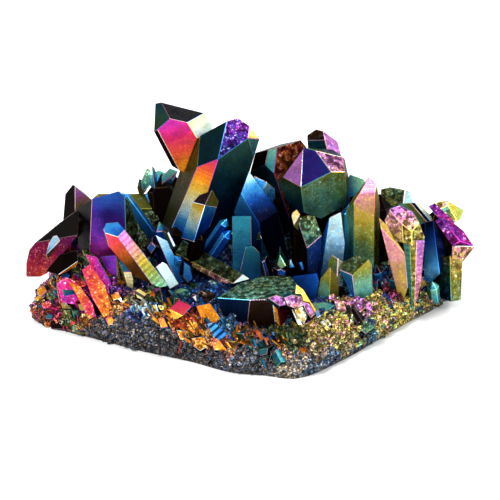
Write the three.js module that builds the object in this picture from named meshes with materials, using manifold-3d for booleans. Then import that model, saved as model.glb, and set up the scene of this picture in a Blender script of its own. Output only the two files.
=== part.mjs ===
// A cluster of aura quartz: a dished slab of quartz druse with its flat cut underside on the
// ground, and more than fifty quartz crystals that lean out of it, each seated in a socket of its own.
// Crystals that grew through each other are one solid. A metal film a few wavelengths thick
// colours every face. Millimetres, +Z up, +X along the slab, -Y towards the side it is shown from.
// The origin is the middle of the bounding box, on the cut underside.

import * as THREE from "three";
import { ConvexGeometry } from "three/addons/geometries/ConvexGeometry.js";
import { mergeVertices } from "three/addons/utils/BufferGeometryUtils.js";
import Module from "manifold-3d";

const wasm = await Module();
wasm.setup();

// ---------------------------------------------------------------- driving dimensions

const GAP = 0.3; // clear space left between a crystal and whatever it is seated in
const CAP_ANGLE = 51.8; // degrees from a quartz point's long axis to the normal of its end faces
const WELD = 1e-4; // vertices closer than this are one vertex
const CORNER = 0.12; // corners of a crystal nearer than this are one corner

// The outline of the cut underside, corner by corner, as [x, y].
const OUTLINE = [
  [-49.5, 0], [-44.5, -5], [-34, -11.5], [-24, -17.5], [-13, -23], [-4, -28.5], [3, -30], [10, -31.5],
  [20, -22.5], [28, -12.5], [36, -2], [42.5, 5.5], [46, 13], [42, 23], [30, 30], [14, 33],
  [-6, 33], [-24, 32], [-39, 27], [-47, 14],
];
const SLAB = {
  spokes: 48, // steps round the outline
  points: 40, // small points that grow from the slab itself
  wall: 5, // height of the steep skirt at the outline
  floor: 8.5, // height of the dished middle
  lumps: 0.9, // height of the lumps on the top
};
// How a slab edge spoke runs from the middle of the underside, up the skirt and in over the top:
// [share of the way out, level], where level 0 is the underside, 1 the skirt's rim and 2 the top.
const RINGS = [
  [0, 0], [1, 0], [1.01, 0.5], [0.97, 1], [0.89, 2], [0.77, 2], [0.64, 2], [0.5, 2],
  [0.34, 2], [0.17, 2], [0, 2],
];
// Banks that stand up from the slab's top, and two hollows: [x, y, radius, height].
const BANKS = [
  [-36, 2, 11, 6.5],
  [-42, 12, 10, 4],
  [-28, 25, 12, 9],
  [-6, 27, 13, 6],
  [16, 25, 12, 7],
  [36, 20, 10, 4],
  [44, 9, 7, 3.5],
  [2, -8, 9, -1.5],
  [-37, -6, 6, 4.5],
  [3, -25, 8, -4],
];

// The colours that the film gives, one per material.
const COATS = {
  magenta: { color: 0xa8386a, roughness: 0.2, metalness: 0.7 },
  violet: { color: 0x46308c, roughness: 0.2, metalness: 0.7 },
  blue: { color: 0x1f5fae, roughness: 0.2, metalness: 0.7 },
  teal: { color: 0x3f8f96, roughness: 0.2, metalness: 0.7 },
  olive: { color: 0x4a4a28, roughness: 0.25, metalness: 0.7 },
  gold: { color: 0xb08a38, roughness: 0.25, metalness: 0.7 },
  dark: { color: 0x1e2026, roughness: 0.15, metalness: 0.8 },
  druse: { color: 0x5a5048, roughness: 0.6, metalness: 0.4 },
};

// ---------------------------------------------------------------- solids and meshes

// A repeatable source of numbers from 0 to 1.
function randomSource(seed) {
  let state = seed;
  return () => {
    state = (state + 0x6d2b79f5) | 0;
    let t = Math.imul(state ^ (state >>> 15), 1 | state);
    t = (t + Math.imul(t ^ (t >>> 7), 61 | t)) ^ t;
    return ((t ^ (t >>> 14)) >>> 0) / 4294967296;
  };
}

function solidOf(geometry) {
  geometry.deleteAttribute("normal");
  geometry.deleteAttribute("uv");
  const merged = mergeVertices(geometry, WELD);
  return new wasm.Manifold(
    new wasm.Mesh({
      numProp: 3,
      vertProperties: merged.attributes.position.array,
      triVerts: new Uint32Array(merged.index.array),
    }),
  );
}

// The largest piece of a solid, without the crumbs that a cut can leave.
function mainPiece(solid) {
  const pieces = solid.decompose();
  return pieces.reduce((best, piece) => (piece.volume() > best.volume() ? piece : best));
}

function meshOf(name, solid, look) {
  const { numProp, vertProperties, triVerts } = solid.getMesh();
  const position = new THREE.BufferAttribute(new Float32Array(vertProperties), numProp);
  const geometry = new THREE.BufferGeometry().setAttribute("position", position);
  geometry.setIndex(new THREE.BufferAttribute(new Uint32Array(triVerts), 1));
  const shaded = geometry.toNonIndexed();
  shaded.computeVertexNormals();
  const mesh = new THREE.Mesh(shaded, new THREE.MeshStandardMaterial(look));
  mesh.name = name;
  return mesh;
}

// ---------------------------------------------------------------- crystals

// A facet is a plane: its outward normal and how far along it the plane lies from the origin.
function facet(normal, through) {
  return { normal, reach: normal.dot(through) };
}

// The corner where three facets meet, or null where they have none.
function corner(a, b, c) {
  const rows = [a, b, c].flatMap(({ normal }) => normal.toArray());
  const matrix = new THREE.Matrix3().set(...rows);
  if (Math.abs(matrix.determinant()) < 1e-3) return null;
  return new THREE.Vector3(a.reach, b.reach, c.reach).applyMatrix3(matrix.invert());
}

// The convex body bounded by the facets, each moved out by grow.
function bodyOf(facets, grow = 0) {
  const planes = facets.map(({ normal, reach }) => ({ normal, reach: reach + grow }));
  const points = [];
  const inside = (p) => planes.every(({ normal, reach }) => normal.dot(p) < reach + 1e-5);
  planes.forEach((a, i) =>
    planes.slice(i + 1).forEach((b, j) =>
      planes.slice(i + j + 2).forEach((c) => {
        const p = corner(a, b, c);
        if (p && inside(p) && !points.some((q) => q.distanceTo(p) < CORNER)) points.push(p);
      }),
    ),
  );
  return solidOf(new ConvexGeometry(points));
}

// A quartz habit: a six-sided prism from root to tip with a six-sided pyramid at the tip. turn
// twists its first face away from the front.
function prismFacets({ root, tip, width, depth = width, turn = 0 }) {
  const foot = new THREE.Vector3(...root);
  const point = new THREE.Vector3(...tip);
  const axis = point.clone().sub(foot).normalize();
  const ahead = Math.abs(axis.y) > 0.88 ? new THREE.Vector3(0, 0, 1) : new THREE.Vector3(0, -1, 0);
  const front = ahead.addScaledVector(axis, -ahead.dot(axis)).normalize();
  const right = new THREE.Vector3().crossVectors(axis, front);
  const facets = [facet(axis.clone().negate(), foot)];
  for (let k = 0; k < 6; k += 1) {
    const angle = THREE.MathUtils.degToRad(turn + 60 * k);
    const out = front.clone().multiplyScalar(Math.cos(angle));
    out.addScaledVector(right, Math.sin(angle));
    const reach = 0.5 * Math.hypot(width * Math.sin(angle), depth * Math.cos(angle));
    facets.push(facet(out, foot.clone().addScaledVector(out, reach)));
    const slope = THREE.MathUtils.degToRad(CAP_ANGLE);
    const cap = axis.clone().multiplyScalar(Math.cos(slope)).addScaledVector(out, Math.sin(slope));
    facets.push(facet(cap, point));
  }
  return facets;
}

// A crystal of no regular habit, whose facets are given one by one as [compass, tilt, distance]:
// compass 0 faces the front and 90 the right, tilt is up from level, distance is from the centre.
function cutFacets({ centre, faces }) {
  const middle = new THREE.Vector3(...centre);
  return faces.map(([compass, tilt, distance]) => {
    const azimuth = THREE.MathUtils.degToRad(compass);
    const rise = THREE.MathUtils.degToRad(tilt);
    const normal = new THREE.Vector3(
      Math.sin(azimuth) * Math.cos(rise),
      -Math.cos(azimuth) * Math.cos(rise),
      Math.sin(rise),
    );
    return facet(normal, middle.clone().addScaledVector(normal, distance));
  });
}

// The points of the rear rim, which lean out and back from the slab.
function backPoints() {
  const random = randomSource(7);
  const places = [-38, -12, -2, 9, 25, 40];
  return places.map((x, i) => {
    const y = 30.5 - 0.004 * x * x;
    const height = 15 + 5 * random();
    const width = 5 + 2.5 * random();
    return {
      name: `back_point_${i + 1}`,
      coat: ["blue", "teal", "violet", "olive", "gold", "dark"][i],
      root: [x * 0.92, y - 8, 6],
      tip: [x * 1.06 + 2 * random(), y - 1, height],
      width,
      turn: Math.round(60 * random()),
    };
  });
}

const facetsOf = (crystal) => (crystal.faces ? cutFacets(crystal) : prismFacets(crystal));

// The largest crystals come first: each later one stops short of those before it.
const CRYSTALS = [
  {
    name: "tall_twin_points",
    coat: "magenta",
    joined: [
      {
        centre: [-12, 17, 20],
        faces: [
          [6.9, 30.5, 13.31], [40.8, 19, 15.38], [-38.1, 33.3, 9.78], [-23.7, 8.9, 5.98],
          [-67.9, 20.5, 5.98], [28.3, -6.2, 5.99], [34.4, -3.9, 7.66], [-154.7, 45.1, 13],
          [148.2, 27.1, 14.23], [-38.1, -71.8, 6.3], [-129.4, 9.1, 6.45], [-141, 31, 9.24],
          [86.1, -16.2, 8.63], [73.4, -15.4, 8.72], [174.3, -3.9, 6.36],
        ],
      },
      {
        centre: [-14, 21, 38],
        faces: [
          [0.8, -3.1, 4.29], [49.5, 21.9, 3.85], [37, 66.9, 4.84], [-47.3, 37.9, 7.89],
          [-11.1, -8.5, 5.44], [48, -16.6, 4.05], [-61.2, -55, 8.85], [143.5, 26.2, 4.07],
          [166.1, 41.3, 3.87], [-112.7, -22, 4.83], [96.8, -4.2, 5.14], [122.1, -47.4, 5.74],
          [-174.2, 2.1, 5],
        ],
      },
      { root: [-18, 14, 6], tip: [-14.5, 16, 21], width: 9 },
    ],
  },
  {
    name: "stout_point",
    coat: "violet",
    joined: [
      {
        centre: [16, 13, 27],
        faces: [
          [-40.9, 38.3, 8.79], [0.7, 44.2, 7.63], [31.9, 52.2, 7.94], [21.3, 0.3, 5.49],
          [-48.2, -6.6, 8], [73.3, 3.6, 6.74], [-93.5, 37.4, 9.02], [-140.2, 24.6, 5.54],
          [118, 72.7, 8.72], [84.1, 16.3, 7.22], [65.2, -60.4, 5.89], [-62.6, -64, 5.85],
          [-120.1, -34.3, 5.21], [-124.1, 48.5, 9.08], [110.5, 42.1, 8.8], [122.1, -4, 5.11],
          [-177, 2, 5.74],
        ],
      },
      { root: [15, 17, 5], tip: [13.6, 13.5, 28], width: 9, depth: 8 },
    ],
  },
  {
    name: "violet_block",
    coat: "violet",
    centre: [-34, 3, 18],
    faces: [
      [8, 1.9, 4.63], [-59.3, 4.8, 4.29], [53.3, 1.3, 7.19], [-147.1, 58.2, 8.45],
      [118.3, 38.9, 10.42], [-119.4, -5.5, 4.46], [100.8, -5.4, 8.73], [137.2, 21.7, 6.71],
      [128.8, 0.2, 6.64], [178.5, -2.6, 4.99], [180, -90, 13],
    ],
  },
  {
    name: "front_table",
    coat: "olive",
    centre: [5, -14, 8],
    faces: [
      [-84.5, 85.8, 5.77], [-18, -0.6, 7.2], [-3.5, -2.1, 6.09], [18.5, 0.4, 5.95], [39.2, 4, 5.38],
      [-122.8, 15.3, 9.28], [-144.5, 26.2, 8.66], [173.3, 32.5, 8.49], [107.2, 3, 5.75],
      [-118.6, -16.1, 7.28], [96.3, -1.8, 5.26], [172.9, -5.9, 8.41], [180, -90, 5],
    ],
  },
  {
    name: "broad_blue_point",
    coat: "blue",
    centre: [2, 12, 17],
    faces: [
      [17.3, 22.4, 4.3], [-28.7, -4.8, 2.73], [26.4, 4.1, 3.36], [-96, 19.2, 6.92],
      [139.5, 18.7, 3.71], [-119.6, -16.9, 3.14], [129.4, 10.1, 3.67], [-178, -11.4, 6.85],
      [180, -90, 11],
    ],
  },
  {
    name: "gold_column",
    coat: "gold",
    centre: [26, 6, 24],
    faces: [
      [-15.2, 42.7, 6.36], [-7.9, 0.5, 3.42], [-59.1, -0.6, 3.76], [67.7, 0.8, 3.37],
      [-97.7, 30.8, 3.68], [-103.4, 5.2, 4.27], [129, 19, 2.89], [-119.9, 36.2, 4.22],
      [-127.5, -1.1, 3.55], [121.2, 0, 2.8], [-179.6, -0.6, 4.91], [180, -90, 19],
    ],
  },
  {
    name: "orange_capped_prism",
    coat: "gold",
    joined: [
      {
        centre: [-11, 4, 23],
        faces: [
          [-47.5, 12.2, 2.99], [46.7, -11.6, 2.37], [-53.1, 51.8, 4.83], [56.1, 10.9, 3.87],
          [105.7, -81.6, 3.62], [-131.5, 14.5, 1.77], [91.7, -20.6, 2.23], [120.8, -62.6, 2],
          [-172.9, 37.5, 3.52], [144.3, 31.4, 4.42], [174, -2.1, 2.95],
        ],
      },
      { root: [-14, 5, 6], tip: [-11.4, 3.6, 21], width: 3.4 },
    ],
  },
  {
    name: "crown_point",
    coat: "magenta",
    centre: [19, 20, 26],
    faces: [
      [-4, 14.9, 3.08], [-3.8, 9.1, 2.05], [49.7, 17.9, 2.17], [-152.9, 28.9, 8.12],
      [158.4, 46.1, 8.67], [-93.7, -19.9, 3.69], [-124.9, -10, 2.88], [-99.4, -1.9, 5.41],
      [126.9, 5.8, 3.71], [122.8, -4.4, 2.77], [180, -90, 14],
    ],
  },
  {
    name: "pitted_sceptre",
    coat: "magenta",
    joined: [
      {
        centre: [35, -1, 22],
        faces: [
          [18, 37.2, 3.36], [-29.9, -4, 2.7], [-17.4, -3.2, 2.74], [48.1, 0, 2.96],
          [-150.5, 27.4, 3.57], [157.4, 32.2, 2.86], [109.3, 25.9, 3.1], [-94.1, -23.2, 3.38],
          [-43, -61.9, 2.81], [-122.8, -28.9, 2.16], [-112.5, 24.4, 5.14], [117.5, -9.2, 4.2],
        ],
      },
      {
        centre: [37, -2, 18],
        faces: [
          [-34.4, -1.3, 2.16], [-6.7, 0.4, 1.98], [36.4, 0.3, 1.78], [177, 66.7, 1.98],
          [-99.6, -8.5, 2.2], [118.5, -4, 1.47], [115.3, -17.5, 3.44], [-178.6, -0.9, 3.16],
        ],
      },
      { root: [36.5, 2.5, 2.5], tip: [35.5, -0.5, 24], width: 4.4 },
    ],
  },
  {
    name: "magenta_spear",
    coat: "magenta",
    joined: [
      {
        centre: [45, 10, 21],
        faces: [
          [17.4, 25.6, 0.21], [-149, 24.9, 3.11], [143.5, 26.6, 0.59], [118.2, -67.4, 1.69],
          [-124.6, -56, 0.86], [-123.8, -39.8, 0.83],
        ],
      },
      {
        centre: [48, 8, 17],
        faces: [
          [1.2, 10, 1.87], [44.3, 35.1, 1.01], [16.8, -14.6, 1.86], [-158.9, 27.5, 2.88],
          [-123.3, -33.8, 1.04], [-178.8, 41, 2.6], [151.5, 33, 1.56], [133, 17.4, 1.54],
          [-134.7, -73.9, 1.26],
        ],
      },
      { root: [44, 10, 3], tip: [46.2, 9.4, 20.5], width: 3.4 },
    ],
  },
  {
    name: "gold_nugget",
    coat: "gold",
    joined: [
      {
        centre: [46, 13, 22],
        faces: [
          [25.1, 25.7, 0.64], [26.5, 21.5, 0.56], [31.5, 23.4, 0.55], [-152.6, 29.9, 1.42],
          [-76.7, -57.2, 2.01], [-120.4, -50.3, 1.14], [-91.1, -34.1, 2.14], [163.8, 38.3, 1.19],
          [110.3, -33.4, 3.5], [116.2, -73.7, 3.04],
        ],
      },
      { root: [43.5, 16, 8], tip: [46, 13.6, 21.5], width: 3.6 },
    ],
  },
  {
    name: "magenta_flank",
    coat: "magenta",
    joined: [
      {
        centre: [-48, 1, 16],
        faces: [
          [-32.1, 24.1, 1.84], [-55.6, 58.3, 2.71], [-121.8, 1, 1.29], [-134.3, 28.6, 1.21],
          [104.5, -0.3, 9.87], [96.1, -22.1, 6.01], [117.5, -71.7, 3.27], [-115.4, -13.7, 2.03],
          [-122.4, 46.2, 2.54], [-91.6, 54.5, 2.38], [106.7, -37.1, 2.42], [20.5, -74.1, 5.16],
          [76.1, -57.6, 4.4],
        ],
      },
      {
        centre: [-44, -2, 19],
        faces: [
          [-7.8, 19.1, 0.91], [23.7, -12.2, 0.95], [-131.6, 15.2, 0.59], [-171.2, 34.5, 1.18],
          [102.7, -4.7, 1.37], [-89.6, -7.3, 1.9], [113.9, 24.2, 1.64], [123, -44.3, 1.51],
          [-96.7, 12.8, 1.11],
        ],
      },
      {
        centre: [-41, -1, 17],
        faces: [
          [-11.1, 4.9, 1.85], [49.2, -0.5, 1.81], [-140.6, 26.5, 0.83], [-174.3, 44.1, 1.67],
          [70.8, -59.6, 2.92], [-117.4, -7.6, 0.54], [128.8, -5.5, 1.2], [-68.2, -46.4, 2.57],
        ],
      },
      {
        centre: [-40, 4, 21],
        faces: [
          [19.9, 15.6, 0.5], [-138.9, 22.1, 0.36], [146.8, 20.2, 0.71], [126.2, -19.8, 0.84],
          [-111.4, -44.1, 0.86], [-117.6, -11.5, 0.09],
        ],
      },
    ],
  },
  {
    name: "dark_spire",
    coat: "dark",
    centre: [-40, 9, 9],
    faces: [
      [-38.4, 3.6, 3.21], [45.9, 1, 2.61], [-145.6, 37.9, 11.68], [-121.9, 5.8, 3.14],
      [111.7, 44.4, 14.26], [129.2, -3, 2.57], [179.4, -3.2, 3.06], [180, -90, 3],
    ],
  },
  {
    name: "pink_blade",
    coat: "magenta",
    centre: [-29, -6, 21],
    faces: [
      [0.3, 48.7, 3.94], [-16, -8.3, 2.41], [29.6, 19.4, 3.24], [-119.4, -1, 2.25],
      [-173.5, 33.8, 2.81], [114.5, 32.6, 2.61], [-67.3, -12.8, 2.78], [-61.1, -61, 5.24],
      [-159.6, -81.1, 8.61], [-78.5, -38.2, 2.1], [-170.5, -8.1, 2.79],
    ],
  },
  {
    name: "olive_prism",
    coat: "olive",
    centre: [-15, 7, 14],
    faces: [
      [-18.5, 56.6, 1.27], [4.1, 45.6, 6.21], [-32, 21.3, 2.35], [133, 34.3, 1.67],
      [-113.7, 13.6, 1.33], [76.1, -78.8, 5.91], [-76.1, -71.2, 1.74], [-94.6, -39, 1.54],
      [150.8, -31.9, 3.38],
    ],
  },
  {
    name: "mint_blade",
    coat: "teal",
    centre: [-16, 1, 6],
    faces: [
      [17.1, 7.8, 2.26], [-33.3, -11.5, 1.31], [168.4, 33.9, 6], [109.8, 20, 2.15],
      [138.1, 15, 0.9], [-115.7, -19.1, 0.81], [-179.3, 45.6, 9.47], [180, -90, 1],
    ],
  },
  {
    name: "white_stub",
    coat: "teal",
    centre: [-20, -5, 13],
    faces: [
      [12.2, 11.7, 1.89], [-30.5, -13, 1.26], [-111.1, 52, 2.25], [164.8, 31, 1.1],
      [140.7, 16, 1.02], [77.9, -62.6, 3.44], [-114.1, -28.9, 1.07],
    ],
  },
  {
    name: "blue_leaf",
    coat: "blue",
    root: [-11.5, 3, 5], tip: [-17, -0.5, 15.8], width: 2.6, depth: 1.6,
  },
  {
    name: "blue_twin_left",
    coat: "blue",
    root: [-13, 8.5, 9], tip: [-5.2, 5, 22.6], width: 2.2,
  },
  {
    name: "blue_twin_right",
    coat: "blue",
    root: [-11.5, 6.5, 8], tip: [-4.4, 3, 20.6], width: 2.4,
  },
  {
    name: "teal_slab",
    coat: "teal",
    joined: [
      {
        centre: [-2, 3, 7],
        faces: [
          [3.3, -0.9, 1.71], [-177.9, 44, 10.97], [115.3, 1.2, 1.61], [-114.2, -0.2, 0.94],
          [-179.7, 1, 2.18], [180, -90, 1],
        ],
      },
      {
        centre: [0, 2, 8],
        faces: [
          [8.9, 2.2, 1.78], [-174.6, 43.3, 5.67], [140.2, 32.9, 4.81], [116.4, 3.1, 1.96],
          [-120.3, 9.2, 1.58], [176, -5.2, 2.49], [180, -90, 2],
        ],
      },
    ],
  },
  {
    name: "dark_pointed_prism",
    coat: "dark",
    centre: [3, 6, 14],
    faces: [
      [-38.6, 10.9, 1.57], [-35.2, 1.9, 1.04], [25.8, -0.6, 0.69], [-133.2, 12.7, 1.85],
      [96.7, 19.7, 0.9], [-123.2, -8.1, 0.94], [125.4, 3, 1.02], [180, -90, 8],
    ],
  },
  {
    name: "speckled_point",
    coat: "olive",
    centre: [13, -1, 20],
    faces: [
      [22.2, 25.6, 2.02], [34.9, 2.7, 2.26], [-46, -0.7, 2.27], [-146.8, 26.1, 2.96],
      [-174, 36.1, 3.73], [128.4, 4.8, 2.27], [121.5, -6, 2.3], [-129.7, 10.5, 2.38],
      [-179.9, -15.4, 5.9], [180, -90, 14],
    ],
  },
  {
    name: "gold_bead",
    coat: "gold",
    joined: [
      {
        centre: [10, -2, 25],
        faces: [
          [7.2, 34, 0.54], [43.6, 3.9, 0.63], [-141.3, 19.4, 1.2], [130.5, 8.2, 1.34],
          [84.8, -31.2, 2.45], [-92.6, -19.2, 0.44], [-81, -39.7, 0.9], [-106.2, 14.7, 0.97],
          [-178.1, -31.7, 2.6],
        ],
      },
      { root: [10.8, 0.5, 6], tip: [10.4, -1.6, 25], width: 1.8 },
    ],
  },
  {
    name: "mint_slab",
    coat: "teal",
    centre: [17, 3, 7],
    faces: [
      [-4.2, 0.3, 2.15], [-13.3, 1.4, 2.3], [-165.1, 32.1, 7.44], [125.4, 5.9, 3.4],
      [120.5, -3.5, 1.92], [-129.7, 4.7, 1.03], [-137.1, 16, 2.75], [173.6, -0.9, 1.77],
      [180, -90, 2],
    ],
  },
  {
    name: "grey_slab",
    coat: "blue",
    root: [22.4, 4.5, 4], tip: [22.5, 7, 25.5], width: 3.4, depth: 3,
  },
  {
    name: "cyan_back_point",
    coat: "teal",
    joined: [
      {
        centre: [24, 16, 27],
        faces: [
          [-14.1, 17.5, 1.17], [152.9, 30.7, 0.79], [128.3, 8.1, 1.23], [116, -28, 1.44],
          [123.5, -63.8, 3.01], [-125.1, -15.3, 0.96], [-136.5, 11, 0.99],
        ],
      },
      { root: [24, 17, 8], tip: [24.6, 15.6, 27], width: 4.4 },
    ],
  },
  {
    name: "pink_yellow_blade",
    coat: "gold",
    centre: [34, -1, 14],
    faces: [
      [-12.8, -2, 1.5], [-5.9, 4.7, 2.01], [65.9, 5.5, 1.77], [-124.3, -12.8, 1.42],
      [145.5, 25.9, 1.95], [108.5, 29.3, 1.72], [-90.3, -14.8, 2.28], [118.7, -10.1, 1.57],
      [-174, -5.5, 2.59],
    ],
  },
  {
    name: "dark_right_back",
    coat: "dark",
    centre: [35, 21, 10],
    faces: [
      [-2.2, 31, 8.07], [50.4, 14.4, 5.03], [-0.4, 0.4, 3.02], [-166, 32.2, 7.87],
      [157.1, 60.4, 12.02], [-97.8, -4, 3.26], [114.1, 3.6, 3.52], [94.5, 3.2, 3.9],
      [-178.2, -0.6, 4.12], [180, -90, 3],
    ],
  },
  {
    name: "pastel_point",
    coat: "olive",
    joined: [
      {
        centre: [38, 10, 23],
        faces: [
          [-15.4, -12.1, 1.62], [46.7, 31, 1.45], [63.9, 36.5, 1.31], [-162.3, 72, 1.75],
          [36.8, -57.8, 3.63], [-121.8, -42.1, 1.35], [-171.7, 48.9, 1.03], [145.6, 30.4, 1.31],
          [172.9, -5.9, 3.1],
        ],
      },
      { root: [41, 14, 6], tip: [38.6, 10.6, 23], width: 4 },
    ],
  },
  {
    name: "deep_blue_prism",
    coat: "blue",
    centre: [43, 7, 12],
    faces: [
      [-19, -1.9, 1.86], [53.9, 7.7, 1.3], [177.1, 36.3, 4.56], [-130.1, 0.5, 1.76],
      [142.6, 38.9, 4.65], [122.7, 6.6, 2.44], [111.1, -30.5, 1.35], [180, -90, 7],
    ],
  },
  {
    name: "olive_right_block",
    coat: "olive",
    joined: [
      {
        centre: [49, 7, 13],
        faces: [
          [24.5, 9.9, 1.29], [-175.2, 57.4, 1.54], [80.3, -39.8, 0.8], [-72.8, -64, 1.31],
          [-107.2, -4.2, 1.93], [-179.8, -10.4, 3.31],
        ],
      },
      {
        centre: [46, 7, 9],
        faces: [
          [25.6, 5.1, 2.34], [-43.3, 0.9, 1.94], [-178.7, 58.5, 2.77], [118.2, -3.7, 1.88],
          [-133, 5.1, 1.27], [180, -90, 6.5],
        ],
      },
    ],
  },
  {
    name: "black_blade",
    coat: "dark",
    centre: [-42, -4, 16],
    faces: [
      [-14, 22.3, 1.08], [11.9, -12.6, 2.31], [-139.6, 22.5, 0.76], [-175.1, 34.9, 0.8],
      [123.1, -9, 1.94], [-42.1, -68.7, 3.12], [125.1, -58.6, 1.49], [-108.9, 32, 1.63],
    ],
  },
  {
    name: "purple_stub",
    coat: "violet",
    centre: [-31, -3, 15],
    faces: [
      [-8.1, 6.6, 1.59], [72.1, 3.6, 1.6], [-176.2, 45.6, 0.81], [-114, -27.3, 0.86],
      [161.8, 49.5, 1.31], [129.4, -2.4, 1.19],
    ],
  },
  {
    name: "yellow_green_blade",
    coat: "gold",
    centre: [-27, -4, 11],
    faces: [
      [-0.2, 20.3, 1.82], [-0.2, 0.8, 0.99], [-137, 17.5, 2.87], [144.7, 17.2, 1.12],
      [100.8, -4.1, 0.62], [-65.7, -13.2, 1.08], [107.8, 13.2, 0.76], [172.9, -5.9, 2.57],
      [180, -90, 6],
    ],
  },
  {
    name: "banded_stub",
    coat: "olive",
    joined: [
      {
        centre: [-24, -11, 11],
        faces: [
          [4.2, 21.5, 0.58], [-150.9, 26, 0.79], [143.1, 15.4, 0.37], [120.2, -45.7, 0.47],
          [-121, -66, 0.76], [-114.7, -29.4, 0.79],
        ],
      },
      { root: [-24.5, -8.5, 5], tip: [-24.5, -10.2, 11.6], width: 2 },
    ],
  },
  {
    name: "mint_tip",
    coat: "teal",
    centre: [19, -3, 6],
    faces: [
      [-25.5, 3.3, 2.01], [48.4, 0.3, 1.79], [-142.6, 22.5, 3.93], [-128.7, 1.3, 0.87],
      [113.3, 54.1, 8.69], [122.5, 1.2, 1.52], [-177.3, -10.3, 1.82], [180, -90, 1],
    ],
  },
  {
    name: "olive_tip",
    coat: "olive",
    centre: [18, -7, 5],
    faces: [
      [-0.6, 4.5, 1.35], [7.4, 4.3, 1.3], [-146, 20.8, 3.63], [-130.6, 3.9, 1.93],
      [143.6, 24.6, 4.1], [123.7, 0.9, 1.24], [180, -90, 1],
    ],
  },
  {
    name: "dark_tip",
    coat: "dark",
    centre: [24, -4, 14],
    faces: [
      [-23.8, 50.1, 1.95], [28.5, 2.9, 2.13], [-35.3, -4.4, 3.15], [-155.1, 25.7, 2.21],
      [140.9, 25.1, 2.07], [95.3, 3.5, 3.28], [-94.9, -13.2, 3.71], [-120.7, -31.6, 2.47],
      [-154.8, 58, 3.25], [180, -90, 10],
    ],
  },
  {
    name: "blue_block",
    coat: "blue",
    centre: [11, -7, 6],
    faces: [
      [-5.3, 9.5, 2.11], [-177.8, 32.4, 3.69], [128.9, 6, 3.3], [119.9, -11.7, 1.61],
      [-132.1, 6.1, 1.45], [180, -90, 2],
    ],
  },
  {
    name: "orange_leaf",
    coat: "gold",
    centre: [12, -18, 12],
    faces: [
      [26.6, 29.3, 0.76], [155.4, 28.9, 1.71], [135.7, 13.1, 0.78], [114.9, -28.7, 2.4],
      [-84.2, -35.8, 0.91], [-122.5, -15.7, 0.83],
    ],
  },
  {
    name: "pink_rhomb",
    coat: "magenta",
    centre: [-15, -17, 10],
    faces: [
      [7.5, 50.9, 0.64], [-15.9, 9.3, 1.7], [63.6, -28.5, 1.49], [-132.1, 13.1, 1.43],
      [153.3, 24.5, 1.25], [84.6, -56.3, 1.04], [-115.8, -27.1, 1.66], [117.5, -30.7, 1.47],
    ],
  },
  {
    name: "orange_wedge",
    coat: "gold",
    centre: [-9, -19, 10],
    faces: [
      [4.1, 21.8, 0.34], [-166.3, 30.2, 1.37], [138.5, 12.3, 0.97], [166.5, -78.7, 1.85],
      [-124.2, -68.7, 1.41], [-116.7, -28, 1.51],
    ],
  },
  {
    name: "ribbed_fragment",
    coat: "teal",
    centre: [-7, -25, 8],
    faces: [
      [20.2, 31.8, 0.16], [-152.9, 27.1, 1.91], [149.8, 22.1, 1.09], [116.7, -31.8, 3.33],
      [-115.3, -59.5, 0.92], [-115.6, -34.8, 0.72],
    ],
  },
  {
    name: "encrusted_ridges",
    coat: "magenta",
    joined: [
      {
        centre: [-41, -8, 11],
        faces: [
          [-12.1, 20, 1.7], [-127.4, 48.1, 1.94], [140.2, 48.9, 2], [107.4, 7.6, 1.94],
          [88, -35.9, 3.08], [-26.1, -71.8, 2.95], [-86.6, -14.7, 1.51], [172.9, -5.9, 6.97],
        ],
      },
      {
        centre: [-36, -11, 8],
        faces: [
          [8.4, 15.8, 0.65], [148, 52.4, 3.39], [118.4, 27.8, 1.07], [106.8, 7.1, 1.09],
          [-57.9, -59.7, 1.64], [-81.7, -27.1, 0.99],
        ],
      },
      {
        centre: [-34, -10, 11],
        faces: [
          [-1.6, 10, 1.2], [-124, 45.6, 5.59], [117.6, 27.8, 2.09], [108.4, 11.7, 1.92],
          [73.7, -54, 5.6], [-81.4, -28.6, 1.52], [-86, -18, 1.37], [172.9, -5.9, 7.86],
        ],
      },
      {
        centre: [-32, -7, 12],
        faces: [
          [6.4, 12.7, 1.22], [156.6, 56.4, 4.69], [114.3, 23.1, 0.73], [109.3, 14.1, 0.7],
          [78.1, -49.6, 5.05], [-83.7, -24.5, 1.35],
        ],
      },
      { root: [-43, -5, 9], tip: [-28, -4.6, 11], width: 6 },
    ],
  },
  {
    name: "teal_blade",
    coat: "teal",
    root: [-21, 11, 14], tip: [-29.6, 15, 25.2], width: 2.6, depth: 1.8,
  },
  {
    name: "brown_back_point",
    coat: "dark",
    centre: [9, 24, 18],
    faces: [
      [-28.7, 15.5, 8.6], [-6.6, 12.8, 6.54], [16, 9.7, 4.59], [-18.4, -1.5, 4.61],
      [-127.5, 69.6, 15.27], [-129.5, 5.3, 6.49], [-168.6, 62.4, 14.68], [-139.1, 55.1, 14.07],
      [142.1, 25.7, 8.46], [98, 2.1, 4.94], [-179.2, 0.9, 5.21], [180, -90, 8],
    ],
  },
  {
    name: "blue_violet_point",
    coat: "violet",
    joined: [
      {
        centre: [3, 16, 24],
        faces: [
          [-7.5, 27.1, 2.5], [24.7, 5.9, 1.65], [143.5, 41.8, 2.41], [-87.1, -31.9, 1.93],
          [125.9, 1.4, 2.14], [-128.2, -71.9, 2.55], [-98.3, -1, 1.98], [178.2, -11, 4.34],
        ],
      },
      { root: [6, 18.5, 8], tip: [4.4, 17, 26], width: 4.2 },
    ],
  },
  {
    name: "olive_back_slab",
    coat: "olive",
    root: [-21, 28, 14], tip: [-43, 26.5, 14.5], width: 11.5, depth: 8,
  },
  {
    name: "left_spray",
    coat: "teal",
    joined: [
      {
        centre: [-26, 29, 21],
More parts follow.
